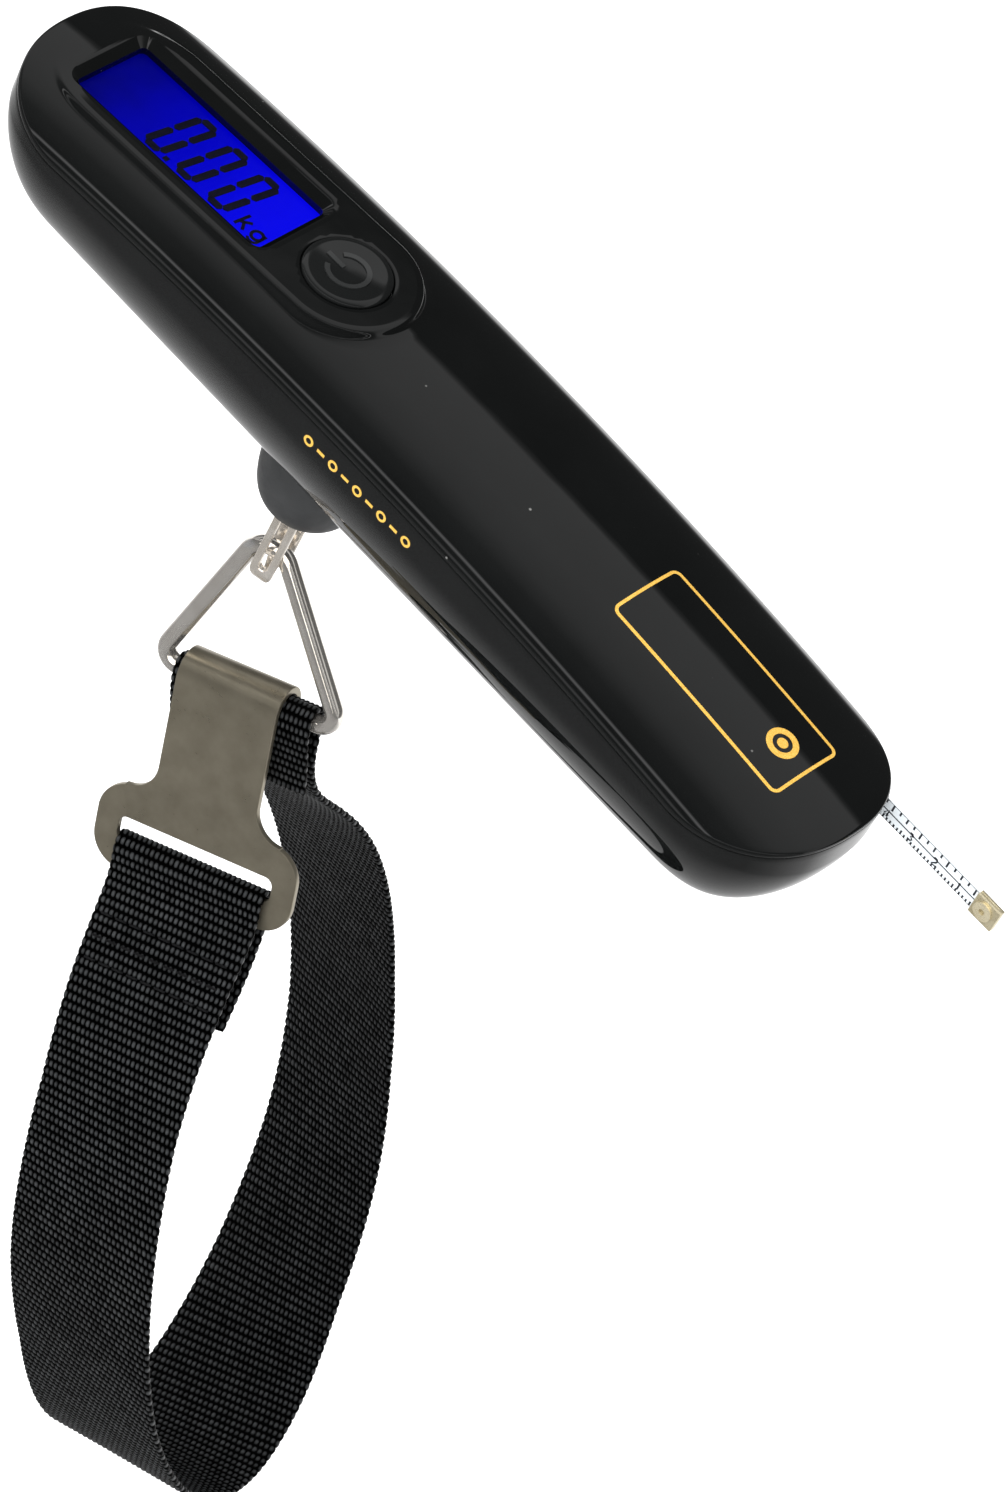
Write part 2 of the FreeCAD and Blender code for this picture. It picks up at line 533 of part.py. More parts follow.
def webbing():
    """The whole strap as one closed band with rectangular sections."""
    curve = Part.BSplineCurve()
    curve.interpolate(Points=[V(x, y, z) for x, y, z, _ in WEB_PATH])
    knots = curve.getKnots()
    steps = 3
    sections = []
    for i in range((len(WEB_PATH) - 1) * steps + 1):
        station = i / steps
        low = min(int(station), len(WEB_PATH) - 2)
        share = station - low
        parameter = knots[low] + (knots[low + 1] - knots[low]) * share
        centre = curve.value(parameter)
        along = curve.tangent(parameter)[0]
        turn = math.radians(WEB_PATH[low][3] * (1 - share) + WEB_PATH[low + 1][3] * share)
        across = V(math.cos(turn), math.sin(turn), 0)
        across = (across - along * across.dot(along)).normalize()
        wide = across * web_half_width(station)
        thick = along.cross(across) * (WEB_THICKNESS / 2)
        corners = [centre - wide - thick, centre + wide - thick, centre + wide + thick, centre - wide + thick]
        sections.append(Part.makePolygon(corners + corners[:1]))
    return placed(Part.makeLoft(sections, True, True), HOOK_FRAME)


# ---- tape measure ----------------------------------------------------------------
def tape_parts():
    low = TAPE_Z - TAPE_WIDTH / 2
    high = TAPE_Z + TAPE_WIDTH / 2
    x = SPOOL_X
    pass_slot = box(x - 40, x + 40, TAPE_Y - 0.5, TAPE_Y + 0.5, low - 0.3, high + 0.3)
    base = joined([rod(CASSETTE_RADIUS, low - 1.0, low - 0.2, x),
                   tube(CASSETTE_RADIUS, CASSETTE_RADIUS - 0.8, low - 0.5, high + 0.2, x)])
    legs = [rod(1.8, WALL, low - 0.9, x + dx, dy) for dx, dy in ((-9, 0), (6, 6), (6, -6))]
    base = joined([base] + legs).cut([pass_slot, rod(1.5, 0, 30, x)])
    axle = rod(1.45, low - 1.6, high + 0.6, x)
    cover = rod(CASSETTE_RADIUS, high + 0.2, high + 0.7, x).cut(rod(1.5, 0, 30, x))
    hub = tube(7.4, 6.9, low, high, x).fuse(rod(7.4, low - 0.1, low + 0.4, x)).cut(rod(1.53, 0, 30, x))
    coil_outer = TAPE_Y - TAPE_THICKNESS / 2 - 0.05
    coil = tube(coil_outer, 7.42, low, high, x)
    turns = 5
    start_radius = 2.4
    growth = 0.85
    steps = 12 * turns
    outer_side = []
    inner_side = []
    for i in range(steps + 1):
        angle = 2 * math.pi * i / 12
        radius = start_radius + growth * i / 12
        direction = V(math.cos(angle), math.sin(angle), 0)
        outer_side.append(V(x, 0, low + 0.6) + direction * (radius + 0.12))
        inner_side.append(V(x, 0, low + 0.6) + direction * (radius - 0.12))
    curves = []
    for points in (outer_side, inner_side[::-1]):
        curve = Part.BSplineCurve()
        curve.interpolate(points)
        curves.append(curve.toShape())
    ends = [Part.makeLine(outer_side[-1], inner_side[-1]), Part.makeLine(inner_side[0], outer_side[0])]
    spring = Part.Face(Part.Wire([curves[0], ends[0], curves[1], ends[1]])).extrude(V(0, 0, TAPE_WIDTH - 0.8))
    blade = box(TAPE_INNER_X, TAPE_OUT_X, TAPE_Y - TAPE_THICKNESS / 2, TAPE_Y + TAPE_THICKNESS / 2, low, high)
    blade = blade.cut(rod_along(0.8, 4, V(TAPE_OUT_X - 1.6, TAPE_Y - 2, TAPE_Z), V(0, 1, 0)))
    tab = box(TAPE_OUT_X - 3.6, TAPE_OUT_X + 0.9, TAPE_Y - 0.55, TAPE_Y + 0.55, low - 0.3, high + 0.3)
    tab = tab.cut(box(TAPE_OUT_X - 5, TAPE_OUT_X + 0.05, TAPE_Y - 0.12, TAPE_Y + 0.12, low - 1, high + 1))
    tab = tab.cut(rod_along(1.2, 4, V(TAPE_OUT_X - 1.6, TAPE_Y - 2, TAPE_Z), V(0, 1, 0)))
    rivet_axis = V(TAPE_OUT_X - 1.6, TAPE_Y - 0.85, TAPE_Z)
    barrel = rod_along(0.78, 1.7, rivet_axis, V(0, 1, 0))
    flanges = [rod_along(1.6, 0.29, rivet_axis, V(0, 1, 0)),
               rod_along(1.6, 0.29, rivet_axis + V(0, 1.41, 0), V(0, 1, 0))]
    rivet = joined([barrel] + flanges).cut(rod_along(0.5, 4, rivet_axis - V(0, 1, 0), V(0, 1, 0)))
    throat = tape_mouth_cut(0.38).cut(tape_mouth_cut(0.0))
    mouth = throat.common(tub(-0.25, 0)).cut(tub(WALL, 0))
    return {"cassette_base": base, "cassette_cover": cover, "spool_axle": axle, "tape_spool": hub,
            "tape_coil": coil, "return_spring": spring, "tape_blade": blade, "tape_end_tab": tab,
            "tab_rivet": rivet, "tape_mouth": mouth}


def build():
    parts = {}
    parts.update(housing_parts())
    parts.update(display_parts())
    parts.update(battery_parts())
    parts.update(load_parts())
    parts.update(tape_parts())
    parts["case_screws"] = case_screws()
    parts["power_button"] = power_button()
    parts["signal_cable"] = signal_cable()
    parts["boss_cup"] = boss_cup()
    parts["hanging_pin"] = hanging_pin()
    parts["pin_nut"] = pin_nut()
    parts["eyelet"] = eyelet()
    parts["triangle_ring"] = triangle_ring()
    parts["hook_plate"] = hook_plate()
    parts["webbing"] = webbing()
    return parts


os.makedirs("parts", exist_ok=True)
for name, shape in build().items():
    shape.exportStep(os.path.join("parts", name + ".step"))
    print(f"{name:20s} solids {len(shape.Solids)} valid {shape.isValid()} volume {shape.Volume:.1f}")
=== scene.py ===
"""Looks of a digital luggage scale with a built-in tape measure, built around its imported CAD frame.

Lengths in this file are millimetres in the CAD frame; mesh() turns them into metres.
"""
import math

import bmesh
import bpy
import numpy as np
from mathutils import Matrix, Vector


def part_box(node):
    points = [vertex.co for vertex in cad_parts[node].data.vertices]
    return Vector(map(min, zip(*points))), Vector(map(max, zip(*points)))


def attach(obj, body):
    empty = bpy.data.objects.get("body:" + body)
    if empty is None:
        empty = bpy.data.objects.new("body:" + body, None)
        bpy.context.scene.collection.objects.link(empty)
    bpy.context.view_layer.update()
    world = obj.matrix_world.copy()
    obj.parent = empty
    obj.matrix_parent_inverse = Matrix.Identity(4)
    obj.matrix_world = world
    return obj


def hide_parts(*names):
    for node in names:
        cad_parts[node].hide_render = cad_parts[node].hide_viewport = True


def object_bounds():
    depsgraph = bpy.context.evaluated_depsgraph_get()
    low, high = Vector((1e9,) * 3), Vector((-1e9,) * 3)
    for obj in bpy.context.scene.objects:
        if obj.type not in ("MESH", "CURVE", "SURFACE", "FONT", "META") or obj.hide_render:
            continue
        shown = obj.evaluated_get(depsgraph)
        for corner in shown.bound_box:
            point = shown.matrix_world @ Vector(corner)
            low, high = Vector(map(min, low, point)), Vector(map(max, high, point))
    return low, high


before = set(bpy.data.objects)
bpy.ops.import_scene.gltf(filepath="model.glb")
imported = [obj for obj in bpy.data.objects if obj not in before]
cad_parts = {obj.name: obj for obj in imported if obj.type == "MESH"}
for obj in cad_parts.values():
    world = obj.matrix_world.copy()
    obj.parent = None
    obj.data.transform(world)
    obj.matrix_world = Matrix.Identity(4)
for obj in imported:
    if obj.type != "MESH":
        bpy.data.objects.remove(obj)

CAD_BOX = [list(corner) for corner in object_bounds()]
MM = 0.001


def node_box(name):
    low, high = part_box(name)
    return np.array(low) / MM, np.array(high) / MM


# ---- housing dimensions, as in the CAD source ----
(HOUSING_LEFT, LOW_Y, _), (HOUSING_RIGHT, HIGH_Y, _) = node_box("bottom_shell")
HALF_WIDTH = (HIGH_Y - LOW_Y) / 2
HOUSING_HEIGHT = 29.0
END_LENGTH = 20.0
END_POWER = 2.3
ARCH_RADIUS = 750.0
CROWN_HEIGHT = 7.0
CROWN_HALF_WIDTH = 20.2
BELLY_TOP = 18.0
BELLY_INSET = 11.0
BELLY_POWER = 1.5
WALL = 1.8
LID_EDGE = 0.8
SEAM_GAP = 0.12
MID_X = (HOUSING_LEFT + HOUSING_RIGHT) / 2
CREASE_RADIUS = 0.62

DISPLAY_X = -41.1
PAD_Z = 26.5
PAD_TILT = math.radians(4.5)
PAD_HALF_WIDTH = 12.0
PAD_MARGIN = 3.2            # from the housing's display end to the pad
PAD_END_LENGTH = 14.0
PAD_END_POWER = 2.5
BUTTON_OFFSET = 31.0
BUTTON_RADIUS = 7.0
BUTTON_GAP = 0.15
WINDOW_LENGTH = 39.2
WINDOW_WIDTH = 14.6
RECESS_DEPTH = 1.5
PAD_FRAME = Matrix.Translation((DISPLAY_X, 0, PAD_Z)) @ Matrix.Rotation(-PAD_TILT, 4, "Y")

EYE_X = -1.2
EYE_Z = -26.3
WIRE_RADIUS = 1.5
RING_BASE = 32.9
RING_HEIGHT = 31.6
RING_APEX_BEND = 4.0
RING_CORNER_BEND = 2.5
EYELET_TURN = math.radians(13.6)
RING_TILT = math.radians(-18.7)
RING_SWAY = math.radians(-10.5)
HOOK_SWAY = math.radians(-5.4)
RING_TURN = (Matrix.Rotation(EYELET_TURN, 4, "Z") @ Matrix.Rotation(RING_TILT, 4, "Y")
             @ Matrix.Rotation(RING_SWAY, 4, "X"))
APEX_ROUNDING = RING_APEX_BEND * (1 / math.sin(math.atan2(RING_BASE / 2, RING_HEIGHT)) - 1)
BAR_DROP = RING_HEIGHT - APEX_ROUNDING
RING_FRAME = Matrix.Translation((EYE_X, 0, EYE_Z)) @ RING_TURN
BAR_CENTRE = RING_FRAME @ Vector((0, 0, -BAR_DROP))
HOOK_FRAME = Matrix.Translation(BAR_CENTRE) @ RING_TURN @ Matrix.Rotation(HOOK_SWAY, 4, "X")


# ---- mesh helpers ----
def moved(points, matrix):
    """Points of any array shape (..., 3), put in place by a 4 x 4 matrix."""
    matrix = np.array(matrix)
    return np.asarray(points, float) @ matrix[:3, :3].T + matrix[:3, 3]


def mesh(name, points, faces, material, sharp=35.0, weld=1e-4):
    """Object from points in millimetres. Doubles closer than weld are merged."""
    data = bpy.data.meshes.new(name)
    data.from_pydata((np.asarray(points, float) * MM).tolist(), [], faces)
    data.materials.append(material)
    piece = bpy.data.objects.new(name, data)
    bpy.context.scene.collection.objects.link(piece)
    work = bmesh.new()
    work.from_mesh(data)
    if weld:
        bmesh.ops.remove_doubles(work, verts=work.verts, dist=weld * MM)
    bmesh.ops.recalc_face_normals(work, faces=work.faces)
    work.to_mesh(data)
    work.free()
    shade(piece, sharp)
    return piece


def shade(piece, sharp=35.0):
    piece.data.shade_smooth()
    piece.data.set_sharp_from_angle(angle=math.radians(sharp))


def applied(piece, sharp=35.0):
    """Bakes the modifiers of a piece into its mesh."""
    depsgraph = bpy.context.evaluated_depsgraph_get()
    data = bpy.data.meshes.new_from_object(piece.evaluated_get(depsgraph))
    piece.modifiers.clear()
    piece.data = data
    shade(piece, sharp)
    return piece


def carved(piece, cutter, operation="DIFFERENCE", sharp=35.0):
    modifier = piece.modifiers.new("carve", "BOOLEAN")
    modifier.operation = operation
    modifier.solver = "EXACT"
    modifier.object = cutter
    applied(piece, sharp)
    bpy.data.objects.remove(cutter)
    return piece


def grid_faces(rows, columns, wrap_rows=False, wrap_columns=False):
    faces = []
    for r in range(rows if wrap_rows else rows - 1):
        for c in range(columns if wrap_columns else columns - 1):
            d = (c + 1) % columns
            s = (r + 1) % rows
            faces.append((r * columns + c, r * columns + d, s * columns + d, s * columns + c))
    return faces


def sheet(name, rows, material, wrap_rows=False, wrap_columns=False, caps=False, **options):
    """Grid of points (rows, columns, 3) as one surface, with optional end caps."""
    rows = np.asarray(rows, float)
    count, columns = rows.shape[:2]
    faces = grid_faces(count, columns, wrap_rows, wrap_columns)
    if caps:
        faces.append(tuple(range(columns)))
        faces.append(tuple((count - 1) * columns + c for c in range(columns)))
    return mesh(name, rows.reshape(-1, 3), faces, material, **options)


def merged(name, pieces, sharp=35.0):
    """Joins several objects with one material into one."""
    work = bmesh.new()
    for piece in pieces:
        work.from_mesh(piece.data)
    data = bpy.data.meshes.new(name)
    work.to_mesh(data)
    work.free()
    data.materials.append(pieces[0].data.materials[0])
    for piece in pieces:
        bpy.data.objects.remove(piece)
    result = bpy.data.objects.new(name, data)
    bpy.context.scene.collection.objects.link(result)
    shade(result, sharp)
    return result


def lathe(name, profile, material, matrix=Matrix.Identity(4), segments=72, **options):
    """Turns a profile of (radius, height) about Z."""
    angles = np.linspace(0, 2 * math.pi, segments, endpoint=False)
    rows = [[(r * math.cos(a), r * math.sin(a), z) for a in angles] for r, z in profile]
    return sheet(name, moved(rows, matrix), material, wrap_columns=True, **options)


def rounded_rectangle(half_a, half_b, radius, steps=6):
    """Outline points, anticlockwise."""
    points = []
    for corner, (sa, sb) in enumerate(((1, 1), (-1, 1), (-1, -1), (1, -1))):
        for k in range(steps + 1):
            angle = math.pi / 2 * (corner + k / steps)
            points.append((sa * (half_a - radius) + radius * math.cos(angle),
                           sb * (half_b - radius) + radius * math.sin(angle)))
    return points


def circle(radius, steps=24, centre=(0.0, 0.0)):
    return [(centre[0] + radius * math.cos(t), centre[1] + radius * math.sin(t))
            for t in np.linspace(0, 2 * math.pi, steps, endpoint=False)]


def stacked(name, levels, material, matrix=Matrix.Identity(4), **options):
    """Closed solid from outlines of equal length at given heights."""
    rows = [[(u, v, w) for u, v in outline] for outline, w in levels]
    return sheet(name, moved(rows, matrix), material, wrap_columns=True, caps=True, **options)


def keep(piece, body, replaces=None):
    """Fixes a finished piece to its body and hides the CAD node that it stands for."""
    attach(piece, body)
    if replaces:
        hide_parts(replaces)


def smoothstep(x, low, high):
    t = np.clip((x - low) / (high - low), 0, 1)
    return t * t * (3 - 2 * t)


# ---- node materials ----
class Nodes:
    """Short names for building the node tree of a material or of the world."""

    def __init__(self, name, world=False):
        self.owner = (bpy.data.worlds if world else bpy.data.materials).new(name)
        self.owner.use_nodes = True
        self.tree = self.owner.node_tree
        self.tree.nodes.clear()
        self.output = self.tree.nodes.new("ShaderNodeOutput" + ("World" if world else "Material"))

    def add(self, kind, settings=None, **inputs):
        """New node. An input is named by its label, or by i and its index."""
        node = self.tree.nodes.new("ShaderNode" + kind)
        for key, value in (settings or {}).items():
            setattr(node, key, value)
        for key, value in inputs.items():
            indexed = key[0] == "i" and key[1:].isdigit()
            self.feed(node.inputs[int(key[1:]) if indexed else key.replace("_", " ")], value)
        return node

    def feed(self, socket, value):
        if isinstance(value, bpy.types.NodeSocket):
            self.tree.links.new(value, socket)
        else:
            socket.default_value = value

    def finish(self, shader):
        self.tree.links.new(shader.outputs[0], self.output.inputs["Surface"])
        return self.owner

    def principled(self, **inputs):
        return self.finish(self.add("BsdfPrincipled", None, **inputs))

    def place(self):
        """Position in millimetres, in the piece's own space."""
        coordinates = self.add("TexCoord").outputs["Object"]
        scaled = self.add("VectorMath", {"operation": "SCALE"}, i0=coordinates, Scale=1 / MM)
        return scaled.outputs[0]

    def math(self, operation, a, b=0.0, c=0.0):
        return self.add("Math", {"operation": operation}, i0=a, i1=b, i2=c).outputs[0]

    def noise(self, scale, detail=3.0, vector=None, roughness=0.55):
        node = self.add("TexNoise", None, Vector=vector or self.place(), Scale=scale, Detail=detail,
                        Roughness=roughness)
        return node.outputs["Fac"]

    def stretched(self, x, y, z):
        return self.add("VectorMath", {"operation": "MULTIPLY"}, i0=self.place(), i1=(x, y, z)).outputs[0]

    def range(self, value, low, high, new_low, new_high):
        return self.add("MapRange", None, i0=value, i1=low, i2=high, i3=new_low, i4=new_high).outputs[0]

    def mix(self, share, a, b):
        return self.add("Mix", {"data_type": "RGBA"}, i0=share, i6=a, i7=b).outputs[2]

    def bump(self, height, strength, distance):
        return self.add("Bump", None, Strength=strength, Distance=distance * MM, Height=height).outputs[0]

    def along_x(self):
        return self.add("SeparateXYZ", None, Vector=self.place()).outputs[0]


def rgba(red, green, blue):
    """Linear colour from display values 0 to 255."""
    return tuple((v / 255) ** 2.2 for v in (red, green, blue)) + (1.0,)


def gloss_black(name, level=17, rough=0.015):
    """High-gloss black plastic: faint waviness, handling haze and a few dust specks."""
    n = Nodes(name)
    haze = n.noise(0.05, 4.0)
    colour = n.mix(n.range(haze, 0.3, 0.7, 0, 1), rgba(level, level + 1, level + 1),
                   rgba(level + 4, level + 5, level + 5))
    specks = n.add("TexVoronoi", {"feature": "F1"}, Vector=n.place(), Scale=0.11).outputs["Distance"]
    dust = n.range(specks, 0.012, 0.03, 1.0, 0.0)
    colour = n.mix(dust, colour, rgba(120, 120, 118))
    smear = n.math("ADD", n.range(haze, 0.4, 0.75, rough, rough + 0.035), n.math("MULTIPLY", dust, 0.5))
    wave = n.bump(n.noise(0.16, 1.0), 0.3, 0.05)
    return n.principled(Base_Color=colour, Roughness=smear, Normal=wave, Specular_IOR_Level=0.5,
                        Coat_Weight=0.3, Coat_Roughness=0.02)


def moulded(name, dark, light, rough=0.5, grain=3.0, strength=0.25):
    """Moulded plastic or rubber with a fine grain and slow colour change."""
    n = Nodes(name)
    colour = n.mix(n.noise(0.25, 3.0), dark, light)
    fine = n.noise(grain, 3.0)
    roughness = n.range(n.noise(0.6), 0.3, 0.7, rough - 0.06, rough + 0.08)
    return n.principled(Base_Color=colour, Roughness=roughness, Normal=n.bump(fine, strength, 0.05))


def metal(name, dark, light, rough, brush=(0.15, 1.0, 1.0), scratch=0.35, spread=0.1, metallic=0.85):
    """Plated or brushed metal: streaks along one direction, stains and edge wear."""
    n = Nodes(name)
    streak = n.noise(3.5, 4.0, n.stretched(*brush), 0.65)
    cloud = n.noise(0.22, 4.0)
    colour = n.mix(n.math("MULTIPLY", n.range(cloud, 0.3, 0.7, 0, 1), 0.9), dark, light)
    wear = n.add("NewGeometry").outputs["Pointiness"]
    worn = tuple(min(v * 1.25, 1) for v in light[:3]) + (1,)
    colour = n.mix(n.range(wear, 0.52, 0.6, 0.0, 0.7), colour, worn)
    roughness = n.math("ADD", n.range(streak, 0.3, 0.7, rough - spread / 2, rough + spread / 2),
                       n.range(cloud, 0.3, 0.7, 0.0, spread * 0.6))
    return n.principled(Base_Color=colour, Metallic=metallic, Roughness=roughness,
                        Normal=n.bump(streak, scratch, 0.02))


def woven(name, u_scale, v_scale):
    """Nylon thread: bead tops painted grey as a painted sheen, gaps painted near-black as painted shade, and
    fine filaments. The weave itself is in the mesh.
    """
    n = Nodes(name)
    slow = n.noise(0.12, 4.0)
    relief = n.add("Attribute", {"attribute_name": "relief"}).outputs["Fac"]
    threads = n.noise(u_scale, 2.0, n.stretched(1.0, 1.0, v_scale))
    # Painted sheen and shade: the weave's relief sets how far each spot goes from the near-black painted
    # shade of the gaps to the grey painted sheen of the bead tops.
    top = n.math("MULTIPLY", n.range(relief, 0.45, 1.0, 0.0, 1.0), n.range(threads, 0.3, 0.7, 0.6, 1.0))
    colour = n.mix(top, rgba(3, 3, 3), n.mix(slow, rgba(50, 52, 53), rgba(72, 74, 76)))
    fine = n.noise(9.0, 3.0)
    height = n.math("ADD", n.math("MULTIPLY", threads, 0.6), n.math("MULTIPLY", fine, 0.4))
    return n.principled(Base_Color=colour, Roughness=n.range(fine, 0.3, 0.7, 0.32, 0.5),
                        Specular_IOR_Level=n.range(relief, 0.4, 1.0, 0.05, 0.6),
                        Normal=n.bump(height, 0.5, 0.06))


def glowing(name):
    """Backlit display face: blue light, brighter towards the button, dim at the far end."""
    n = Nodes(name)
    along = n.range(n.along_x(), DISPLAY_X - 20.0, DISPLAY_X + 19.0, 0.0, 1.0)
    patch = n.math("MULTIPLY", n.noise(0.12, 2.0), 0.25)
    level = n.math("ADD", along, n.math("SUBTRACT", patch, 0.12))
    ramp = n.add("ValToRGB", None, Fac=level)
    stops = ramp.color_ramp.elements
    stops[0].position, stops[0].color = 0.0, rgba(4, 6, 112)
    stops[1].position, stops[1].color = 0.95, rgba(16, 16, 255)
    middle = stops.new(0.45)
    middle.color = rgba(3, 4, 205)
    return n.principled(Base_Color=rgba(1, 1, 12), Roughness=0.4, Specular_IOR_Level=0.1,
                        Emission_Color=ramp.outputs[0], Emission_Strength=1.0)


def clear_window(name):
    """Thin clear window: mostly see-through, with a faint reflection."""
    n = Nodes(name)
    fresnel = n.add("Fresnel", None, IOR=1.3)
    see = n.add("BsdfTransparent", None, Color=(0.97, 0.97, 1.0, 1.0))
    shine = n.add("BsdfGlossy", None, Color=(0.03, 0.03, 0.04, 1), Roughness=0.05)
    mix = n.add("MixShader", None, i0=fresnel.outputs[0], i1=see.outputs[0], i2=shine.outputs[0])
    return n.finish(mix)


def gold_ink(name):
    """Printed gold: metallic flakes in a warm binder, with a faint painted glow in its own colour."""
    n = Nodes(name)
    flakes = n.noise(6.0, 4.0)
    colour = n.mix(n.range(flakes, 0.35, 0.65, 0, 1), rgba(214, 156, 58), rgba(246, 204, 104))
    # The emission is a painted glow: the printed gold is no lamp and is lit from within to look brighter.
    return n.principled(Base_Color=colour, Metallic=0.35, Roughness=n.range(flakes, 0.3, 0.7, 0.3, 0.45),
                        Emission_Color=colour, Emission_Strength=0.22, Normal=n.bump(flakes, 0.3, 0.02))


def banded(name, dark, light, bands_per_mm):
    """Fine alternating bands along X."""
    n = Nodes(name)
    wave = n.math("SINE", n.math("MULTIPLY", n.along_x(), bands_per_mm))
    colour = n.mix(n.range(wave, -0.3, 0.3, 0, 1), dark, light)
    return n.principled(Base_Color=colour, Roughness=0.7, Normal=n.bump(wave, 0.2, 0.03))


def board(name):
    """Green solder mask over faint copper traces."""
    n = Nodes(name)
    cells = n.add("TexVoronoi", {"distance": "MANHATTAN", "feature": "DISTANCE_TO_EDGE"}, Vector=n.place(),
                  Scale=0.6).outputs["Distance"]
    trace = n.range(cells, 0.02, 0.05, 1.0, 0.0)
    colour = n.mix(trace, rgba(12, 84, 44), rgba(40, 126, 70))
    return n.principled(Base_Color=colour, Roughness=n.range(n.noise(1.5), 0.3, 0.7, 0.28, 0.4),
                        Normal=n.bump(trace, 0.4, 0.05))


def sleeve(name):
    """Printed foil sleeve of a cell: green body with a copper band at one end."""
    n = Nodes(name)
    band = n.range(n.along_x(), -49.0, -48.6, 1.0, 0.0)
    colour = n.mix(band, rgba(28, 96, 52), rgba(196, 128, 70))
    colour = n.mix(n.range(n.noise(0.8), 0.45, 0.75, 0.0, 0.35), colour, rgba(90, 140, 100))
    foil = n.bump(n.noise(2.0), 0.2, 0.03)
    return n.principled(Base_Color=colour, Metallic=0.6, Roughness=0.3, Normal=foil)


BLACK = gloss_black("gloss_black_plastic")
PAD_BLACK = gloss_black("gloss_black_button", 24, 0.06)
ICON = gloss_black("gloss_black_icon", 44, 0.12)
BOSS = moulded("boss_rubber", rgba(46, 47, 48), rgba(60, 61, 62), 0.42, 4.0, 0.2)
GOLD = gold_ink("gold_ink")
LENS = clear_window("clear_window")
SCREEN = glowing("backlit_display")
NYLON = woven("black_nylon", 6.0, 0.35)
NICKEL = metal("polished_nickel", rgba(232, 226, 218), rgba(252, 248, 242), 0.09, (0.2, 0.2, 0.1), 0.03,
               0.05, 0.93)
PLATED = metal("plated_strip", rgba(226, 218, 206), rgba(250, 244, 236), 0.16, (0.2, 0.2, 0.1), 0.04, 0.06)
SATIN = metal("satin_nickel", rgba(148, 141, 124), rgba(168, 160, 142), 0.3, (0.12, 1, 1), 0.35, 0.1)
INK = moulded("segment_ink", rgba(2, 2, 22), rgba(5, 5, 30), 0.35, 6.0, 0.1)
THREAD = moulded("stitching_thread", rgba(12, 12, 13), rgba(26, 26, 28), 0.6, 6.0, 0.4)
MILKY = moulded("milky_guide", rgba(206, 212, 222), rgba(228, 232, 240), 0.4, 4.0, 0.1)
INNER = moulded("inner_plastic", rgba(30, 30, 32), rgba(44, 44, 46), 0.5, 5.0, 0.25)
EPOXY = moulded("chip_epoxy", rgba(20, 20, 21), rgba(34, 34, 35), 0.55, 8.0, 0.3)
FILM = moulded("gauge_film", rgba(190, 134, 40), rgba(222, 168, 66), 0.35, 6.0, 0.15)
SHEATH = moulded("cable_sheath", rgba(104, 104, 108), rgba(128, 128, 132), 0.5, 5.0, 0.2)
ZINC = metal("zinc_steel", rgba(160, 162, 166), rgba(196, 198, 202), 0.26, (0.4, 1, 1), 0.3, 0.12)
ALUMINIUM = metal("milled_aluminium", rgba(196, 198, 200), rgba(222, 223, 225), 0.3, (0.1, 1, 1), 0.4, 0.1)
BRASS = metal("worn_brass", rgba(168, 156, 120), rgba(222, 212, 182), 0.24, (1, 1, 1), 0.35, 0.16, 0.75)
TAPE_INK = moulded("tape_ink", rgba(24, 26, 34), rgba(40, 42, 50), 0.5, 8.0, 0.1)
TAPE_PAINT = moulded("tape_paint", rgba(208, 215, 219), rgba(220, 226, 230), 0.32, 1.5, 0.08)
BANDED = banded("zebra_rubber", rgba(36, 36, 38), rgba(150, 150, 150), 5.0)
BOARD = board("solder_mask")
CELL = sleeve("cell_sleeve")


# ---- housing surfaces ----
def plan_samples(end_count, side_count):
    """Base points and outward normals round the plan outline, anticlockwise from the tape end's -Y side."""
    points, normals = [], []

    def half_end(side):
        angles = np.linspace(-math.pi / 2, math.pi / 2, end_count)
        along = np.clip(np.cos(angles), 0, 1) ** (2 / END_POWER)
        across = np.sign(angles) * np.abs(np.sin(angles)) ** (2 / END_POWER)
        nx = along ** (END_POWER - 1) / END_LENGTH
        ny = np.sign(across) * np.abs(across) ** (END_POWER - 1) / HALF_WIDTH
        size = np.hypot(nx, ny)
        tip = HOUSING_RIGHT if side > 0 else HOUSING_LEFT
        points.append(np.stack([tip - side * END_LENGTH + side * END_LENGTH * along,
                                side * HALF_WIDTH * across], 1))
        normals.append(np.stack([side * nx / size, side * ny / size], 1))

    def straight(x0, x1, side):
        x = np.linspace(x0, x1, side_count + 2)[1:-1]
        points.append(np.stack([x, np.full_like(x, side * HALF_WIDTH)], 1))
        normals.append(np.stack([np.zeros_like(x), np.full_like(x, side)], 1))

    left, right = HOUSING_LEFT + END_LENGTH, HOUSING_RIGHT - END_LENGTH
    half_end(1)
    straight(right, left, 1)
    half_end(-1)
    straight(left, right, -1)
    return np.concatenate(points), np.concatenate(normals)


def crown_z(x, y, drop=0.0):
    fall = CROWN_HEIGHT * (1 - np.sqrt(np.clip(1 - (y / CROWN_HALF_WIDTH) ** 2, 0, 1)))
    return HOUSING_HEIGHT - ARCH_RADIUS + np.sqrt((ARCH_RADIUS - drop - fall) ** 2 - (x - MID_X) ** 2)


def pad_plane_z(x):
    return PAD_Z + (x - DISPLAY_X) * math.tan(PAD_TILT)


def spine_of(points, left, right):
    return np.stack([np.clip(points[:, 0], left, right), np.zeros(len(points))], 1)


def with_height(xy, z):
    return np.concatenate([xy, np.broadcast_to(np.asarray(z, float), len(xy))[:, None]], 1)


END_SAMPLES = 81
SIDE_SAMPLES = 64
PLAN, OUTWARD = plan_samples(END_SAMPLES, SIDE_SAMPLES)


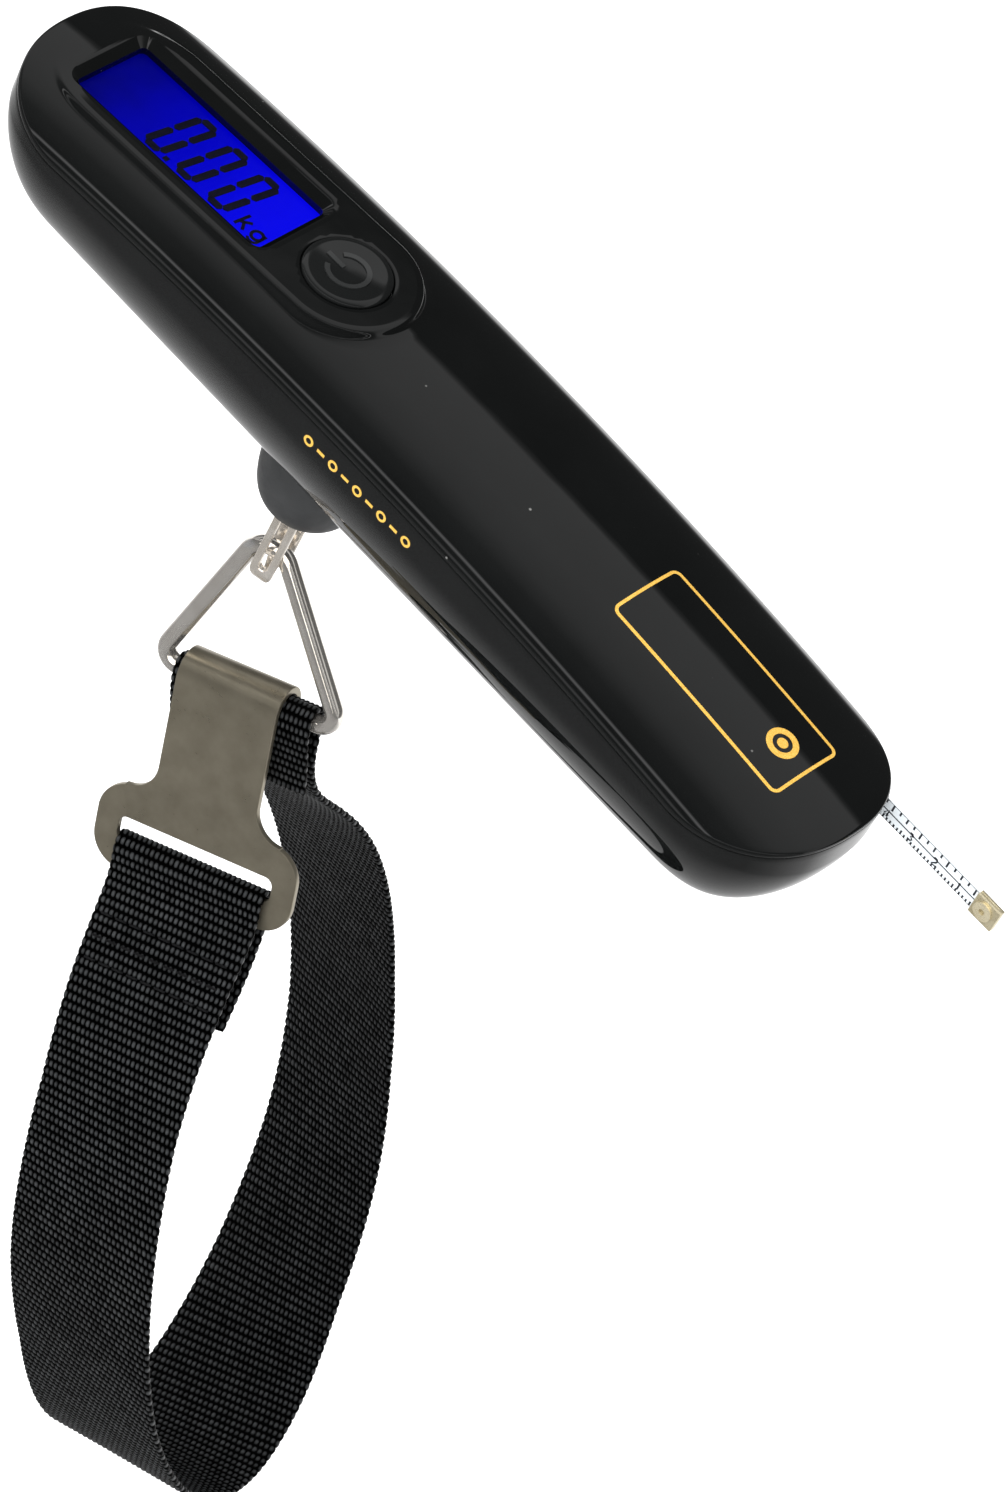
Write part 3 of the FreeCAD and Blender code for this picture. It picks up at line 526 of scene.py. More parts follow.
def crease_profile():
    """For each plan sample: inset of the fillet's crown tangent, and the fillet's centre height."""
    low = np.zeros(len(PLAN))
    high = np.full(len(PLAN), CREASE_RADIUS)

    def section(inset):
        xy = PLAN - inset[:, None] * OUTWARD
        z = crown_z(xy[:, 0], xy[:, 1])
        step = 1e-3
        beyond = PLAN - (inset + step)[:, None] * OUTWARD
        slope = (crown_z(beyond[:, 0], beyond[:, 1]) - z) / step
        length = np.sqrt(1 + slope ** 2)
        return inset + CREASE_RADIUS * slope / length, z - CREASE_RADIUS / length, slope

    for _ in range(40):
        middle = (low + high) / 2
        reach, _, _ = section(middle)
        low = np.where(reach < CREASE_RADIUS, middle, low)
        high = np.where(reach < CREASE_RADIUS, high, middle)
    _, centre, slope = section(low)
    return low, centre, slope


def pad_curve(inset):
    """Outline of the raised pad with the same samples as the plan outline."""
    radius = PAD_HALF_WIDTH + 0.3 - inset
    button_x = DISPLAY_X + BUTTON_OFFSET
    left_tip = HOUSING_LEFT + PAD_MARGIN + inset
    side = len(PLAN) // 2 - END_SAMPLES
    angle = np.linspace(-math.pi / 2, math.pi / 2, END_SAMPLES)
    button_end = np.stack([button_x + radius * np.cos(angle), radius * np.sin(angle)], 1)
    along = np.clip(np.cos(angle), 0, 1) ** (2 / PAD_END_POWER)
    across = np.sign(angle) * np.abs(np.sin(angle)) ** (2 / PAD_END_POWER)
    left_end = np.stack([left_tip + PAD_END_LENGTH - PAD_END_LENGTH * along, -radius * across], 1)
    x = np.linspace(button_x, left_tip + PAD_END_LENGTH, side + 2)[1:-1]
    far_side = np.stack([x, np.full(side, radius)], 1)
    near_side = np.stack([x[::-1], np.full(side, -radius)], 1)
    return np.concatenate([button_end, far_side, left_end, near_side])


def lid_z(xy, raised):
    """Height of the lid: the crown, blended onto the pad's plane where raised is 1."""
    x, y = xy[:, 0], xy[:, 1]
    crown = crown_z(x, y)
    fade = smoothstep(x, HOUSING_LEFT + 3.0, HOUSING_LEFT + 17.0)
    return crown + raised * fade * (pad_plane_z(x) - crown)


def build_lid():
    inset, centre, slope = crease_profile()
    seam = crown_z(PLAN[:, 0], PLAN[:, 1]) - LID_EDGE
    rows = []
    soft = 0.14
    for k in range(4):
        angle = math.pi / 2 * k / 3
        xy = PLAN - (soft * (1 - math.sin(angle))) * OUTWARD
        rows.append(with_height(xy, seam + soft * (1 - math.cos(angle))))
    end_angle = np.pi / 2 + np.arctan(slope)
    for k in range(9):
        angle = np.pi - (np.pi - end_angle) * k / 8
        xy = PLAN - (CREASE_RADIUS * (1 + np.cos(angle)))[:, None] * OUTWARD
        rows.append(with_height(xy, centre + CREASE_RADIUS * np.sin(angle)))
    start = PLAN - inset[:, None] * OUTWARD
    pad = pad_curve(0.0)
    for share in np.linspace(0, 1, 62)[1:]:
        xy = start + (pad - start) * (0.35 * share + 0.65 * share ** 1.35)
        rows.append(with_height(xy, lid_z(xy, 0.0)))
    for step in np.linspace(0, 1, 10)[1:]:
        xy = pad_curve(1.0 * step)
        rows.append(with_height(xy, lid_z(xy, float(smoothstep(step, 0.0, 1.0)))))
    inner = pad_curve(1.0)
    spine = spine_of(inner, HOUSING_LEFT + 16.0, DISPLAY_X + BUTTON_OFFSET)
    for share in np.linspace(0, 1, 14)[1:]:
        xy = inner + (spine - inner) * share
        rows.append(with_height(xy, lid_z(xy, 1.0)))
    under = []
    for share in (1.0, 0.8, 0.55, 0.3, 0.1, 0.0):
        xy = PLAN - (WALL + 0.1) * OUTWARD
        xy = xy + (spine_of(xy, HOUSING_LEFT + 20, HOUSING_RIGHT - 20) - xy) * share
        under.append(with_height(xy, np.minimum(crown_z(xy[:, 0], xy[:, 1]) - 3.9, 30)))
    under.append(with_height(PLAN - (WALL + 0.1) * OUTWARD, seam))
    under.append(with_height(PLAN - (0.6 * WALL) * OUTWARD, seam))
    return sheet("lid_shell", rows[::-1] + under[::-1], BLACK, wrap_columns=True)


def window_cutter():
    """Recess over the display: flared walls, softly rounded rim, straight throat."""
    levels = []
    for grow, height in ((0.0, -6.0), (0.0, -RECESS_DEPTH), (0.06, -RECESS_DEPTH + 0.05),
                         (1.28, -0.24), (1.42, -0.12), (1.62, -0.03), (1.9, 0.02), (2.3, 0.4), (2.3, 3.0)):
        outline = rounded_rectangle(WINDOW_LENGTH / 2 + grow, WINDOW_WIDTH / 2 + grow, 1.0 + grow, 8)
        levels.append((outline, height))
    return stacked("window_cutter", levels, BLACK, PAD_FRAME)


def button_cutter():
    radius = BUTTON_RADIUS + BUTTON_GAP
    levels = [(circle(radius + grow, 96), height) for grow, height in
              ((0.0, -6.0), (0.0, -0.22), (0.05, -0.1), (0.16, -0.02), (0.3, 0.01), (0.5, 0.4), (0.5, 3.0))]
    return stacked("button_cutter", levels, BLACK, PAD_FRAME @ Matrix.Translation((BUTTON_OFFSET, 0, 0)))


def belly_inset(z):
    depth = np.clip((BELLY_TOP - z) / BELLY_TOP, 0, 1)
    return BELLY_INSET * (1 - (1 - depth ** BELLY_POWER) ** (1 / BELLY_POWER))


def build_tub():
    seam = crown_z(PLAN[:, 0], PLAN[:, 1]) - LID_EDGE - SEAM_GAP
    soft = 0.14
    outer = []
    for k in range(4):
        angle = math.pi / 2 * k / 3
        xy = PLAN - (soft * (1 - math.sin(angle))) * OUTWARD
        outer.append(with_height(xy, seam - soft * (1 - math.cos(angle))))
    for share in (0.25, 0.5, 0.75):
        outer.append(with_height(PLAN, (seam - soft) * (1 - share) + BELLY_TOP * share))
    for k in range(33):
        z = BELLY_TOP * math.sin(math.pi / 2 * (1 - k / 32))
        outer.append(with_height(PLAN - float(belly_inset(z)) * OUTWARD, z))
    rim = PLAN - BELLY_INSET * OUTWARD
    spine = spine_of(rim, HOUSING_LEFT + 20, HOUSING_RIGHT - 20)
    for share in (0.2, 0.5, 1.0):
        outer.append(with_height(rim + (spine - rim) * share, 0.0))
    inner = [with_height(PLAN - WALL * OUTWARD, seam)]
    for k in range(13):
        z = WALL + (BELLY_TOP - WALL) * math.sin(math.pi / 2 * (1 - k / 12))
        inner.append(with_height(PLAN - (WALL + float(belly_inset(z))) * OUTWARD, z))
    rim = inner[-1][:, :2]
    spine = spine_of(rim, HOUSING_LEFT + 22, HOUSING_RIGHT - 22)
    for share in (0.5, 1.0):
        inner.append(with_height(rim + (spine - rim) * share, WALL))
    return sheet("tub_shell", outer[::-1] + inner, BLACK, wrap_columns=True)


def slab(x0, x1, y0, y1, z0, z1, radius=0.3, matrix=Matrix.Identity(4), material=None, name="slab"):
    """Block with rounded upright edges."""
    outline = [(u + (x0 + x1) / 2, v + (y0 + y1) / 2)
               for u, v in rounded_rectangle((x1 - x0) / 2, (y1 - y0) / 2, radius, 4)]
    return stacked(name, [(outline, z0), (outline, z1)], material or BLACK, matrix)


lid = build_lid()
carved(lid, window_cutter())
carved(lid, button_cutter())
keep(lid, "housing", "top_shell")

tub = build_tub()
SCREW_SPOTS = ((-66.0, 0.0, 11.2), (61.5, 5.8, 3.2), (61.5, -5.8, 3.2), (96.5, 0.0, 11.2))
carved(tub, slab(-59.9, -14.9, -10.2, 10.2, -1.0, 3.4))
for spot_x, spot_y, seat in SCREW_SPOTS:
    turn = Matrix.Translation((spot_x, spot_y, 0))
    carved(tub, lathe("bore", [(2.55, -1), (2.55, seat)], BLACK, turn, 40, caps=True))
(_, mouth_low_y, mouth_low_z), (_, mouth_high_y, mouth_high_z) = node_box("tape_mouth")
carved(tub, slab(90, 110, mouth_low_y, mouth_high_y, mouth_low_z, mouth_high_z, 0.1))
keep(tub, "housing", "bottom_shell")


# ---- raised lines, digits and stitches ----
def strips(name, paths, low, high, place, material, sharp=35.0):
    """Closed strips of constant thickness along (points, width, closed) paths, put in space by place."""
    points, faces = [], []
    for line, width, closed in paths:
        line = np.asarray(line, float)
        count = len(line)
        if closed:
            tangent = np.roll(line, -1, axis=0) - np.roll(line, 1, axis=0)
        else:
            tangent = np.gradient(line, axis=0)
        tangent /= np.linalg.norm(tangent, axis=1)[:, None]
        half = np.broadcast_to(np.asarray(width, float) / 2, count)[:, None]
        across = np.stack([-tangent[:, 1], tangent[:, 0]], 1) * half
        left, right = line + across, line - across
        ring = np.stack([with_height(left, low), with_height(right, low), with_height(right, high),
                         with_height(left, high)], 1)
        start = sum(len(block) for block in points)
        points.append(place(ring.reshape(-1, 3)))
        faces += [tuple(start + k for k in face) for face in grid_faces(count, 4, closed, True)]
        if not closed:
            faces.append(tuple(start + k for k in range(4)))
            faces.append(tuple(start + 4 * (count - 1) + k for k in range(4)))
    return mesh(name, np.concatenate(points), faces, material, sharp=sharp, weld=0)


def on_frame(matrix):
    return lambda points: moved(points, matrix)


def straight_line(a, b, steps=2):
    return np.stack([np.linspace(a[0], b[0], steps), np.linspace(a[1], b[1], steps)], 1)


def dense(outline, step):
    """Closed outline resampled so no piece of it is longer than step."""
    result = []
    for a, b in zip(outline, outline[1:] + outline[:1]):
        count = max(int(math.hypot(b[0] - a[0], b[1] - a[1]) / step), 1)
        result += [(a[0] + (b[0] - a[0]) * k / count, a[1] + (b[1] - a[1]) * k / count) for k in range(count)]
    return result


# ---- display ----
LCD_FACE = -2.7
DIGIT_WIDTH = 4.45
DIGIT_LOW = -5.9
DIGIT_HIGH = 6.0
DIGIT_PITCH = 6.75
DIGIT_FIRST = -6.9
SEGMENT_WIDTH = 1.3
SLANT = math.tan(math.radians(8))
POINT_SIZE = 0.95
UNIT_LEFT = 13.3
UNIT_BASE = -5.5
UNIT_STROKE = 0.55


def segment(a, b):
    """One bar of a seven-segment digit with pointed ends."""
    a, b = np.array(a), np.array(b)
    along = (b - a) / np.linalg.norm(b - a)
    gap, point = 0.16, 0.42
    line = [a + along * gap, a + along * (gap + point), b - along * (gap + point), b - along * gap]
    return line, np.array([0.2, 1.0, 1.0, 0.2]) * SEGMENT_WIDTH, False


def slanted(u, v):
    return u + (v - DIGIT_LOW) * SLANT, v


def zero_digit(left):
    half = SEGMENT_WIDTH / 2
    u0, u1 = left + half, left + DIGIT_WIDTH - half
    v0, v2 = DIGIT_LOW + half, DIGIT_HIGH - half
    v1 = (v0 + v2) / 2
    corners = (((u0, v0), (u1, v0)), ((u0, v2), (u1, v2)), ((u0, v0), (u0, v1)), ((u0, v1), (u0, v2)),
               ((u1, v0), (u1, v1)), ((u1, v1), (u1, v2)))
    return [segment(slanted(*a), slanted(*b)) for a, b in corners]


def unit_strokes():
    """The unit after the figures: a leaning k and a g, as (points, width, closed)."""
    k, base, stem = UNIT_LEFT, UNIT_BASE, UNIT_STROKE
    centre, radius = (k + 3.8, base + 1.15), 0.95
    tail = [(centre[0] + radius, centre[1] + 1.0), (centre[0] + radius, centre[1] - 1.0)]
    tail += [(centre[0] + 0.05 + 0.9 * math.cos(t), centre[1] - 1.0 + 0.75 * math.sin(t))
             for t in np.linspace(-0.25, -2.7, 9)]
    return [([(k, base), (k + 0.3, base + 3.2)], stem, False),
            ([(k + 0.25, base + 1.0), (k + 1.7, base + 2.3)], stem, False),
            ([(k + 0.75, base + 1.4), (k + 1.7, base)], stem, False),
            (circle(radius, 20, centre), stem, True),
            (tail, stem * 0.9, False)]


def build_digits():
    paths = [bar for k in range(3) for bar in zero_digit(DIGIT_FIRST + k * DIGIT_PITCH)]
    dot_u = DIGIT_FIRST + DIGIT_WIDTH + 0.95
    paths.append((straight_line((dot_u - 0.45, DIGIT_LOW + 0.5), (dot_u + 0.45, DIGIT_LOW + 0.5)),
                  POINT_SIZE, False))
    paths += unit_strokes()
    digits = strips("segment_digits", paths, LCD_FACE + 0.02, LCD_FACE + 0.08, on_frame(PAD_FRAME), INK)
    keep(digits, "housing")


build_digits()


# ---- power button ----
DISH_RADIUS = 60.0
DISH_LIFT = 0.25
DISH_EDGE = 5.8
ICON_RADIUS = 3.2
ICON_STROKE = 0.8
ICON_GAP = math.radians(32)  # half the opening of the ring, where the bar stands
BUTTON_SEAT = PAD_FRAME @ Matrix.Translation((BUTTON_OFFSET, 0, 0))


def dish(radius):
    """Height of the key's hollow face above the pad."""
    return DISH_LIFT + radius ** 2 / (2 * DISH_RADIUS)


def on_dish(points):
    lifted = np.array(points)
    lifted[:, 2] += dish(np.hypot(points[:, 0], points[:, 1]))
    return moved(lifted, BUTTON_SEAT)


def build_button():
    """Key with a hollow face, a rolled rim, a flange under the lid and a stem, and its raised symbol."""
    face = [(r, dish(r)) for r in (0.02, 1.5, 3.0, 4.4, 5.4, DISH_EDGE)]
    rim = [(6.1, 0.545), (6.35, 0.52), (6.6, 0.45), (6.8, 0.32), (6.94, 0.15), (BUTTON_RADIUS, -0.05)]
    under = [(BUTTON_RADIUS, -1.6), (8.2, -1.65), (8.2, -2.55), (8.1, -2.6), (1.5, -2.6), (1.5, -4.55),
             (0.02, -4.6)]
    cap = lathe("button_cap", face + rim + under, PAD_BLACK, BUTTON_SEAT, 120, caps=True)
    keep(cap, "power_key", "power_button")
    turns = np.linspace(math.pi + ICON_GAP, 3 * math.pi - ICON_GAP, 60)
    ring = [(ICON_RADIUS * math.cos(t), ICON_RADIUS * math.sin(t)) for t in turns]
    bar = straight_line((-4.3, 0), (-0.9, 0), 14)
    paths = [(ring, ICON_STROKE, False), (bar, ICON_STROKE, False)]
    icon = strips("power_icon", paths, -0.1, 0.2, on_dish, ICON)
    keep(icon, "power_key")


build_button()


# ---- printed gold ----
FRAME_X = 72.4
FRAME_LENGTH = 35.3
FRAME_WIDTH = 13.8
MARK_X = 84.7
SIDE_MARKS = 9              # rings and dashes in turn along the -Y wall
SIDE_MARKS_X = 5.9
SIDE_MARKS_Z = 19.4
SIDE_MARK_PITCH = 2.62


def on_crown(points):
    """Lays (x, y, lift) points on the arched lid."""
    laid = np.array(points)
    laid[:, 2] += crown_z(points[:, 0], points[:, 1])
    return laid


def on_side(points):
    """Lays (x, z, lift) points on the flat -Y side band."""
    return np.stack([points[:, 0], -HALF_WIDTH - points[:, 2], points[:, 1]], 1)


def build_print():
    outline = [(u + FRAME_X, v) for u, v in rounded_rectangle(FRAME_LENGTH / 2, FRAME_WIDTH / 2, 1.1, 6)]
    mark = circle(2.1, 48, (MARK_X, 0.0))
    dot = circle(0.45, 20, (MARK_X, 0.0))
    gold = strips("gold_frame", [(dense(outline, 0.8), 0.52, True), (mark, 1.0, True), (dot, 0.88, True)],
                  -0.02, 0.035, on_crown, GOLD)
    keep(gold, "housing")
    marks = []
    for k in range(SIDE_MARKS):
        x = SIDE_MARKS_X + k * SIDE_MARK_PITCH
        if k % 2:
            marks.append((straight_line((x - 0.75, SIDE_MARKS_Z), (x + 0.75, SIDE_MARKS_Z), 4), 0.55, False))
        else:
            marks.append((circle(0.72, 24, (x, SIDE_MARKS_Z)), 0.42, True))
    row = strips("gold_side_row", marks, -0.02, 0.03, on_side, GOLD)
    keep(row, "housing")


build_print()


# ---- ring wire ----
ARC_STEPS = 16
SIDE_STEPS = 12
WIRE_SIDES = 28


def rounded_triangle():
    """Centreline of the ring in its own frame: long rounded apex, two tight corners."""
    corners = np.array([(0, APEX_ROUNDING), (-RING_BASE / 2, -BAR_DROP), (RING_BASE / 2, -BAR_DROP)])
    bends = (RING_APEX_BEND, RING_CORNER_BEND, RING_CORNER_BEND)
    arcs = []
    for i, radius in enumerate(bends):
        corner = corners[i]
        first, second = ((corners[i - step] - corner) / np.linalg.norm(corners[i - step] - corner)
                         for step in (1, 2))
        half = math.acos(first @ second) / 2
        turn = math.pi - 2 * half
        centre = corner + (first + second) / np.linalg.norm(first + second) * radius / math.sin(half)
        start, stop = (corner + way * radius / math.tan(half) - centre for way in (first, second))
        shares = np.linspace(0, 1, ARC_STEPS + 1)[:, None]
        arc = start * np.sin((1 - shares) * turn) + stop * np.sin(shares * turn)
        arcs.append(centre + arc / math.sin(turn))
    path = []
    for i, arc in enumerate(arcs):
        following = arcs[(i + 1) % 3][0]
        between = np.linspace(arc[-1], following, SIDE_STEPS + 1)[1:-1]
        path += [arc, between]
    return np.concatenate(path)


def build_ring():
    flat = rounded_triangle()
    path = np.stack([flat[:, 0], np.zeros(len(flat)), flat[:, 1]], 1)
    tangent = np.roll(path, -1, axis=0) - np.roll(path, 1, axis=0)
    tangent /= np.linalg.norm(tangent, axis=1)[:, None]
    out_of_plane = np.broadcast_to((0.0, 1.0, 0.0), path.shape)
    inward = np.cross(tangent, out_of_plane)
    rows = [[centre + u * side + v * top for u, v in circle(WIRE_RADIUS, WIRE_SIDES)]
            for centre, side, top in zip(path, out_of_plane, inward)]
    ring = sheet("ring_wire", moved(rows, RING_FRAME), NICKEL, wrap_rows=True, wrap_columns=True)
    keep(ring, "ring", "triangle_ring")


build_ring()


# ---- eyelet ----
STRIP_THICKNESS = 1.1
STRIP_WIDTH = 4.0
STRIP_EDGE = 0.5            # rounding of the strip's long edges
BEND_WIDTH = 1.5            # the strip narrows towards the bottom of its bend
EYE_HALF_GAP = 2.5          # half the clear gap between the legs
EYE_SLACK = 3.0             # free room under the ring's wire
YOKE_TOP = -9.6
YOKE_DEPTH = 2.6
SLOT_RADIUS = 0.75


def slot_outline(low, high, radius, steps=12):
    """Upright oval, anticlockwise, between the centres of its two round ends."""
    turns = np.linspace(0, math.pi, steps)
    return ([(radius * math.cos(t), high + radius * math.sin(t)) for t in turns]
            + [(-radius * math.cos(t), low - radius * math.sin(t)) for t in turns])


def build_eyelet():
    """Bent strip with rounded edges: two legs under a yoke, closed by a round bend; a long slot in front."""
    bend_z = EYE_Z - WIRE_RADIUS - EYE_SLACK + EYE_HALF_GAP
    middle = EYE_HALF_GAP + STRIP_THICKNESS / 2
    leg = np.linspace(YOKE_TOP, bend_z, 12)[:-1]
    turns = np.linspace(0, math.pi, 33)
    stations = [(middle, z, 1.0, 0.0) for z in leg]
    stations += [(middle * math.cos(t), bend_z - middle * math.sin(t), math.cos(t), -math.sin(t))
                 for t in turns]
    stations += [(-middle, z, -1.0, 0.0) for z in leg[::-1]]
    rows = []
    for y, z, out_y, out_z in stations:
        width = STRIP_WIDTH + (BEND_WIDTH - STRIP_WIDTH) * out_z ** 2
        section = rounded_rectangle(width / 2, STRIP_THICKNESS / 2, STRIP_EDGE, 6)
        rows.append([(u, y + v * out_y, z + v * out_z) for u, v in section])
    eyelet = sheet("bent_eyelet", rows, PLATED, wrap_columns=True, caps=True)
    yoke = slab(-STRIP_WIDTH / 2, STRIP_WIDTH / 2, -middle, middle, YOKE_TOP - YOKE_DEPTH, YOKE_TOP - 0.01,
                material=PLATED)
    carved(eyelet, yoke, "UNION")
    low, high = bend_z + 1.2, YOKE_TOP - YOKE_DEPTH - 0.4
    face = EYE_HALF_GAP + STRIP_THICKNESS
    levels = [(slot_outline(low, high, SLOT_RADIUS + grow), height) for grow, height in
              ((0.0, 1.0), (0.0, face - 0.3), (0.06, face - 0.15), (0.2, face - 0.03), (0.5, face + 0.1))]
    towards_front = Matrix(((1, 0, 0, 0), (0, 0, -1, 0), (0, 1, 0, 0), (0, 0, 0, 1)))
    carved(eyelet, stacked("slot_cutter", levels, PLATED, towards_front))
    eyelet.data.transform(Matrix.Rotation(EYELET_TURN, 4, "Z"))
    keep(eyelet, "swivel", "eyelet")


build_eyelet()


# ---- webbing ----
# Centreline in the hook's frame: sideways shift, depth, height and turn of its width in degrees.
WEB_PATH = np.array((
    (0.0, 1.0, -13.0, 0), (0.0, -0.9, -6.0, 0), (0.0, -2.18, -0.6, 0), (0.0, -1.76, 1.34, 0),
    (0.0, 0.0, 2.185, 0), (0.0, 1.76, 1.34, 0), (0.0, 2.21, -0.6, 0), (-0.4, 3.4, -7.0, -3),
    (-1.0, 8.5, -14.5, -8), (-1.6, 20.0, -22.5, -14),
    (-2.0, 35.0, -33.5, -18), (-2.2, 48.5, -49.0, -22), (-2.0, 59.0, -67.5, -26), (-1.0, 65.5, -90.0, -27),
    (0.2, 65.0, -113.0, -25), (0.2, 58.0, -134.0, -22), (0.0, 48.0, -149.0, -15), (-0.3, 34.0, -156.5, -9),
    (-0.7, 18.0, -153.0, -6), (-0.9, 5.0, -142.5, -9), (-1.0, -7.0, -125.0, -13), (-1.0, -15.5, -106.0, -12),
    (-1.0, -19.3, -86.0, -12), (-1.4, -18.0, -68.0, -11), (-1.8, -13.2, -52.0, -5), (-1.8, -7.9, -41.0, -2),
    (-1.8, -5.2, -33.3, 0), (-1.8, -4.85, -30.3, 0), (-1.8, -3.45, -29.3, 0), (-1.8, -2.1, -30.3, 0),
    (-1.8, -1.75, -35.6, 0), (-1.8, -3.9, -42.5, -2), (-1.8, -8.9, -52.0, -5),
))
WEB_WIDTH = 30.0
WEB_BAR_WIDTH = 24.6
WEB_SLOT_WIDTH = 26.6
WEB_GATHER = 8              # stations at each end where the webbing is gathered
WEAVE_ROW = 1.45            # pitch of the cross ribs along the strap
WEAVE_COLUMN = 1.0          # pitch of the lengthwise threads
ROW_SAMPLES = 6
COLUMN_SAMPLES = 5
WEB_GROUND = 0.28           # half the webbing's thickness between the beads
BEAD_HEIGHT = 0.34
UNEVENNESS = 0.01
SELVEDGE = 0.35             # width over which the edges get thin
FRAY = 0.16


def natural_spline(knots, values, at):
    """Natural cubic spline through values at knots, and its first derivative."""
    count = len(knots)
    step = np.diff(knots)
    system = np.eye(count)
    right = np.zeros((count, values.shape[1]))
    for i in range(1, count - 1):
        system[i, i - 1:i + 2] = step[i - 1], 2 * (step[i - 1] + step[i]), step[i]
        right[i] = 6 * ((values[i + 1] - values[i]) / step[i] - (values[i] - values[i - 1]) / step[i - 1])
    bend = np.linalg.solve(system, right)
    low = np.clip(np.searchsorted(knots, at, side="right") - 1, 0, count - 2)
    h = step[low][:, None]
    a = (knots[low + 1] - at)[:, None] / h
    b = 1 - a
    place = (a * values[low] + b * values[low + 1]
             + ((a ** 3 - a) * bend[low] + (b ** 3 - b) * bend[low + 1]) * h ** 2 / 6)
    slope = ((values[low + 1] - values[low]) / h
             + ((3 * b ** 2 - 1) * bend[low + 1] - (3 * a ** 2 - 1) * bend[low]) * h / 6)
    return place, slope, low + (at - knots[low]) / step[low]


def web_frame(samples):
    """Centres, across and out directions, half widths and length along the webbing."""
    points = WEB_PATH[:, :3]
    knots = np.concatenate([[0], np.cumsum(np.linalg.norm(np.diff(points, axis=0), axis=1))])
    fine = np.linspace(0, knots[-1], 4000)
    place, _, _ = natural_spline(knots, points, fine)
    length = np.concatenate([[0], np.cumsum(np.linalg.norm(np.diff(place, axis=0), axis=1))])
    at = np.interp(np.asarray(samples) * length[-1], length, fine)
    centre, along, station = natural_spline(knots, points, at)
    along /= np.linalg.norm(along, axis=1)[:, None]
    turn = np.radians(np.interp(station, np.arange(len(points)), WEB_PATH[:, 3]))
    across = np.stack([np.cos(turn), np.sin(turn), np.zeros_like(turn)], 1)
    across -= along * np.sum(across * along, axis=1)[:, None]
    across /= np.linalg.norm(across, axis=1)[:, None]
    last = len(points) - 1
    bar = smoothstep(station, WEB_GATHER, WEB_GATHER + 3)
    slot = smoothstep(last - station, WEB_GATHER, WEB_GATHER + 3)
    width = np.minimum(WEB_BAR_WIDTH + (WEB_WIDTH - WEB_BAR_WIDTH) * bar,
                       WEB_SLOT_WIDTH + (WEB_WIDTH - WEB_SLOT_WIDTH) * slot)
    return centre, across, np.cross(along, across), width / 2, length[-1], station


def build_webbing():
    """Strap in one closed sheet: rows of beads on both faces, thin selvedges and frayed ends."""
    total = web_frame([0.0, 1.0])[4]
    ribs = round(total / WEAVE_ROW)
    samples = np.linspace(0, 1, ribs * ROW_SAMPLES + 1)
    centre, across, out, half, _, station = web_frame(samples)
    beads = round(WEB_WIDTH / WEAVE_COLUMN)
    share = np.linspace(-1, 1, beads * COLUMN_SAMPLES + 1)
    rib = np.floor(samples * ribs - 1e-9).astype(int)
    odd = rib % 2
    in_row = np.abs(np.sin(np.pi * samples * ribs)) ** 0.7
    phase = ((share + 1) / 2 * beads)[None, :] + 0.5 * odd[:, None]
    relief = in_row[:, None] * (0.15 + 0.85 * np.abs(np.sin(np.pi * phase)) ** 0.8)
    generator = np.random.default_rng(7)
    rough = generator.normal(0, 1, (ribs + 2, beads + 2))
    uneven = rough[np.clip(rib, 0, ribs)[:, None], np.clip(np.floor(phase).astype(int), 0, beads + 1)]
    pressed = np.where(station < WEB_GATHER - 1.2, 0.9, 1.0)
    pressed = np.where(station > len(WEB_PATH) - 1 - WEB_GATHER + 1.5, 0.95, pressed)
    lift = WEB_GROUND + BEAD_HEIGHT * relief + UNEVENNESS * uneven * in_row[:, None]
    selvedge = np.clip((1 - np.abs(share)) * half[:, None] / SELVEDGE, 0, 1) ** 0.5
    lift *= pressed[:, None] * (0.45 + 0.55 * selvedge)
    reach = half - 0.15 + 0.16 * in_row - 0.05 * odd
    middle = centre[:, None] + across[:, None] * (share[None, :] * reach[:, None])[..., None]
    height = out[:, None] * lift[..., None]
    rows = np.concatenate([middle + height, (middle - height)[:, ::-1]], 1)
    fray = generator.normal(0, FRAY, (2, rows.shape[1], 1))
    along = np.cross(across, out)
    rows[0] -= along[0] * fray[0]
    rows[-1] += along[-1] * fray[1]
    strap = sheet("woven_strap", moved(rows, HOOK_FRAME), NYLON, wrap_columns=True, caps=True,
                  sharp=70.0, weld=0)
    # The relief attribute steers the strap material's painted sheen on the bead tops and painted shade in the
    # gaps.
    shown = relief * np.clip(1 + 0.07 * uneven, 0.6, 1.2)
    shown = np.concatenate([shown, shown[:, ::-1]], 1).ravel()
    attribute = strap.data.attributes.new("relief", "FLOAT", "POINT")
    attribute.data.foreach_set("value", shown.astype(np.float32))
    keep(strap, "strap", "webbing")


build_webbing()


STITCH_STATIONS = (7.15, 7.4, 24.35, 24.65, 24.95)
STITCH_LENGTH = 2.1
STITCH_GAP = 0.55
STITCH_RADIUS = 0.19
STITCH_MARGIN = 2.4
STITCH_STEPS = 9


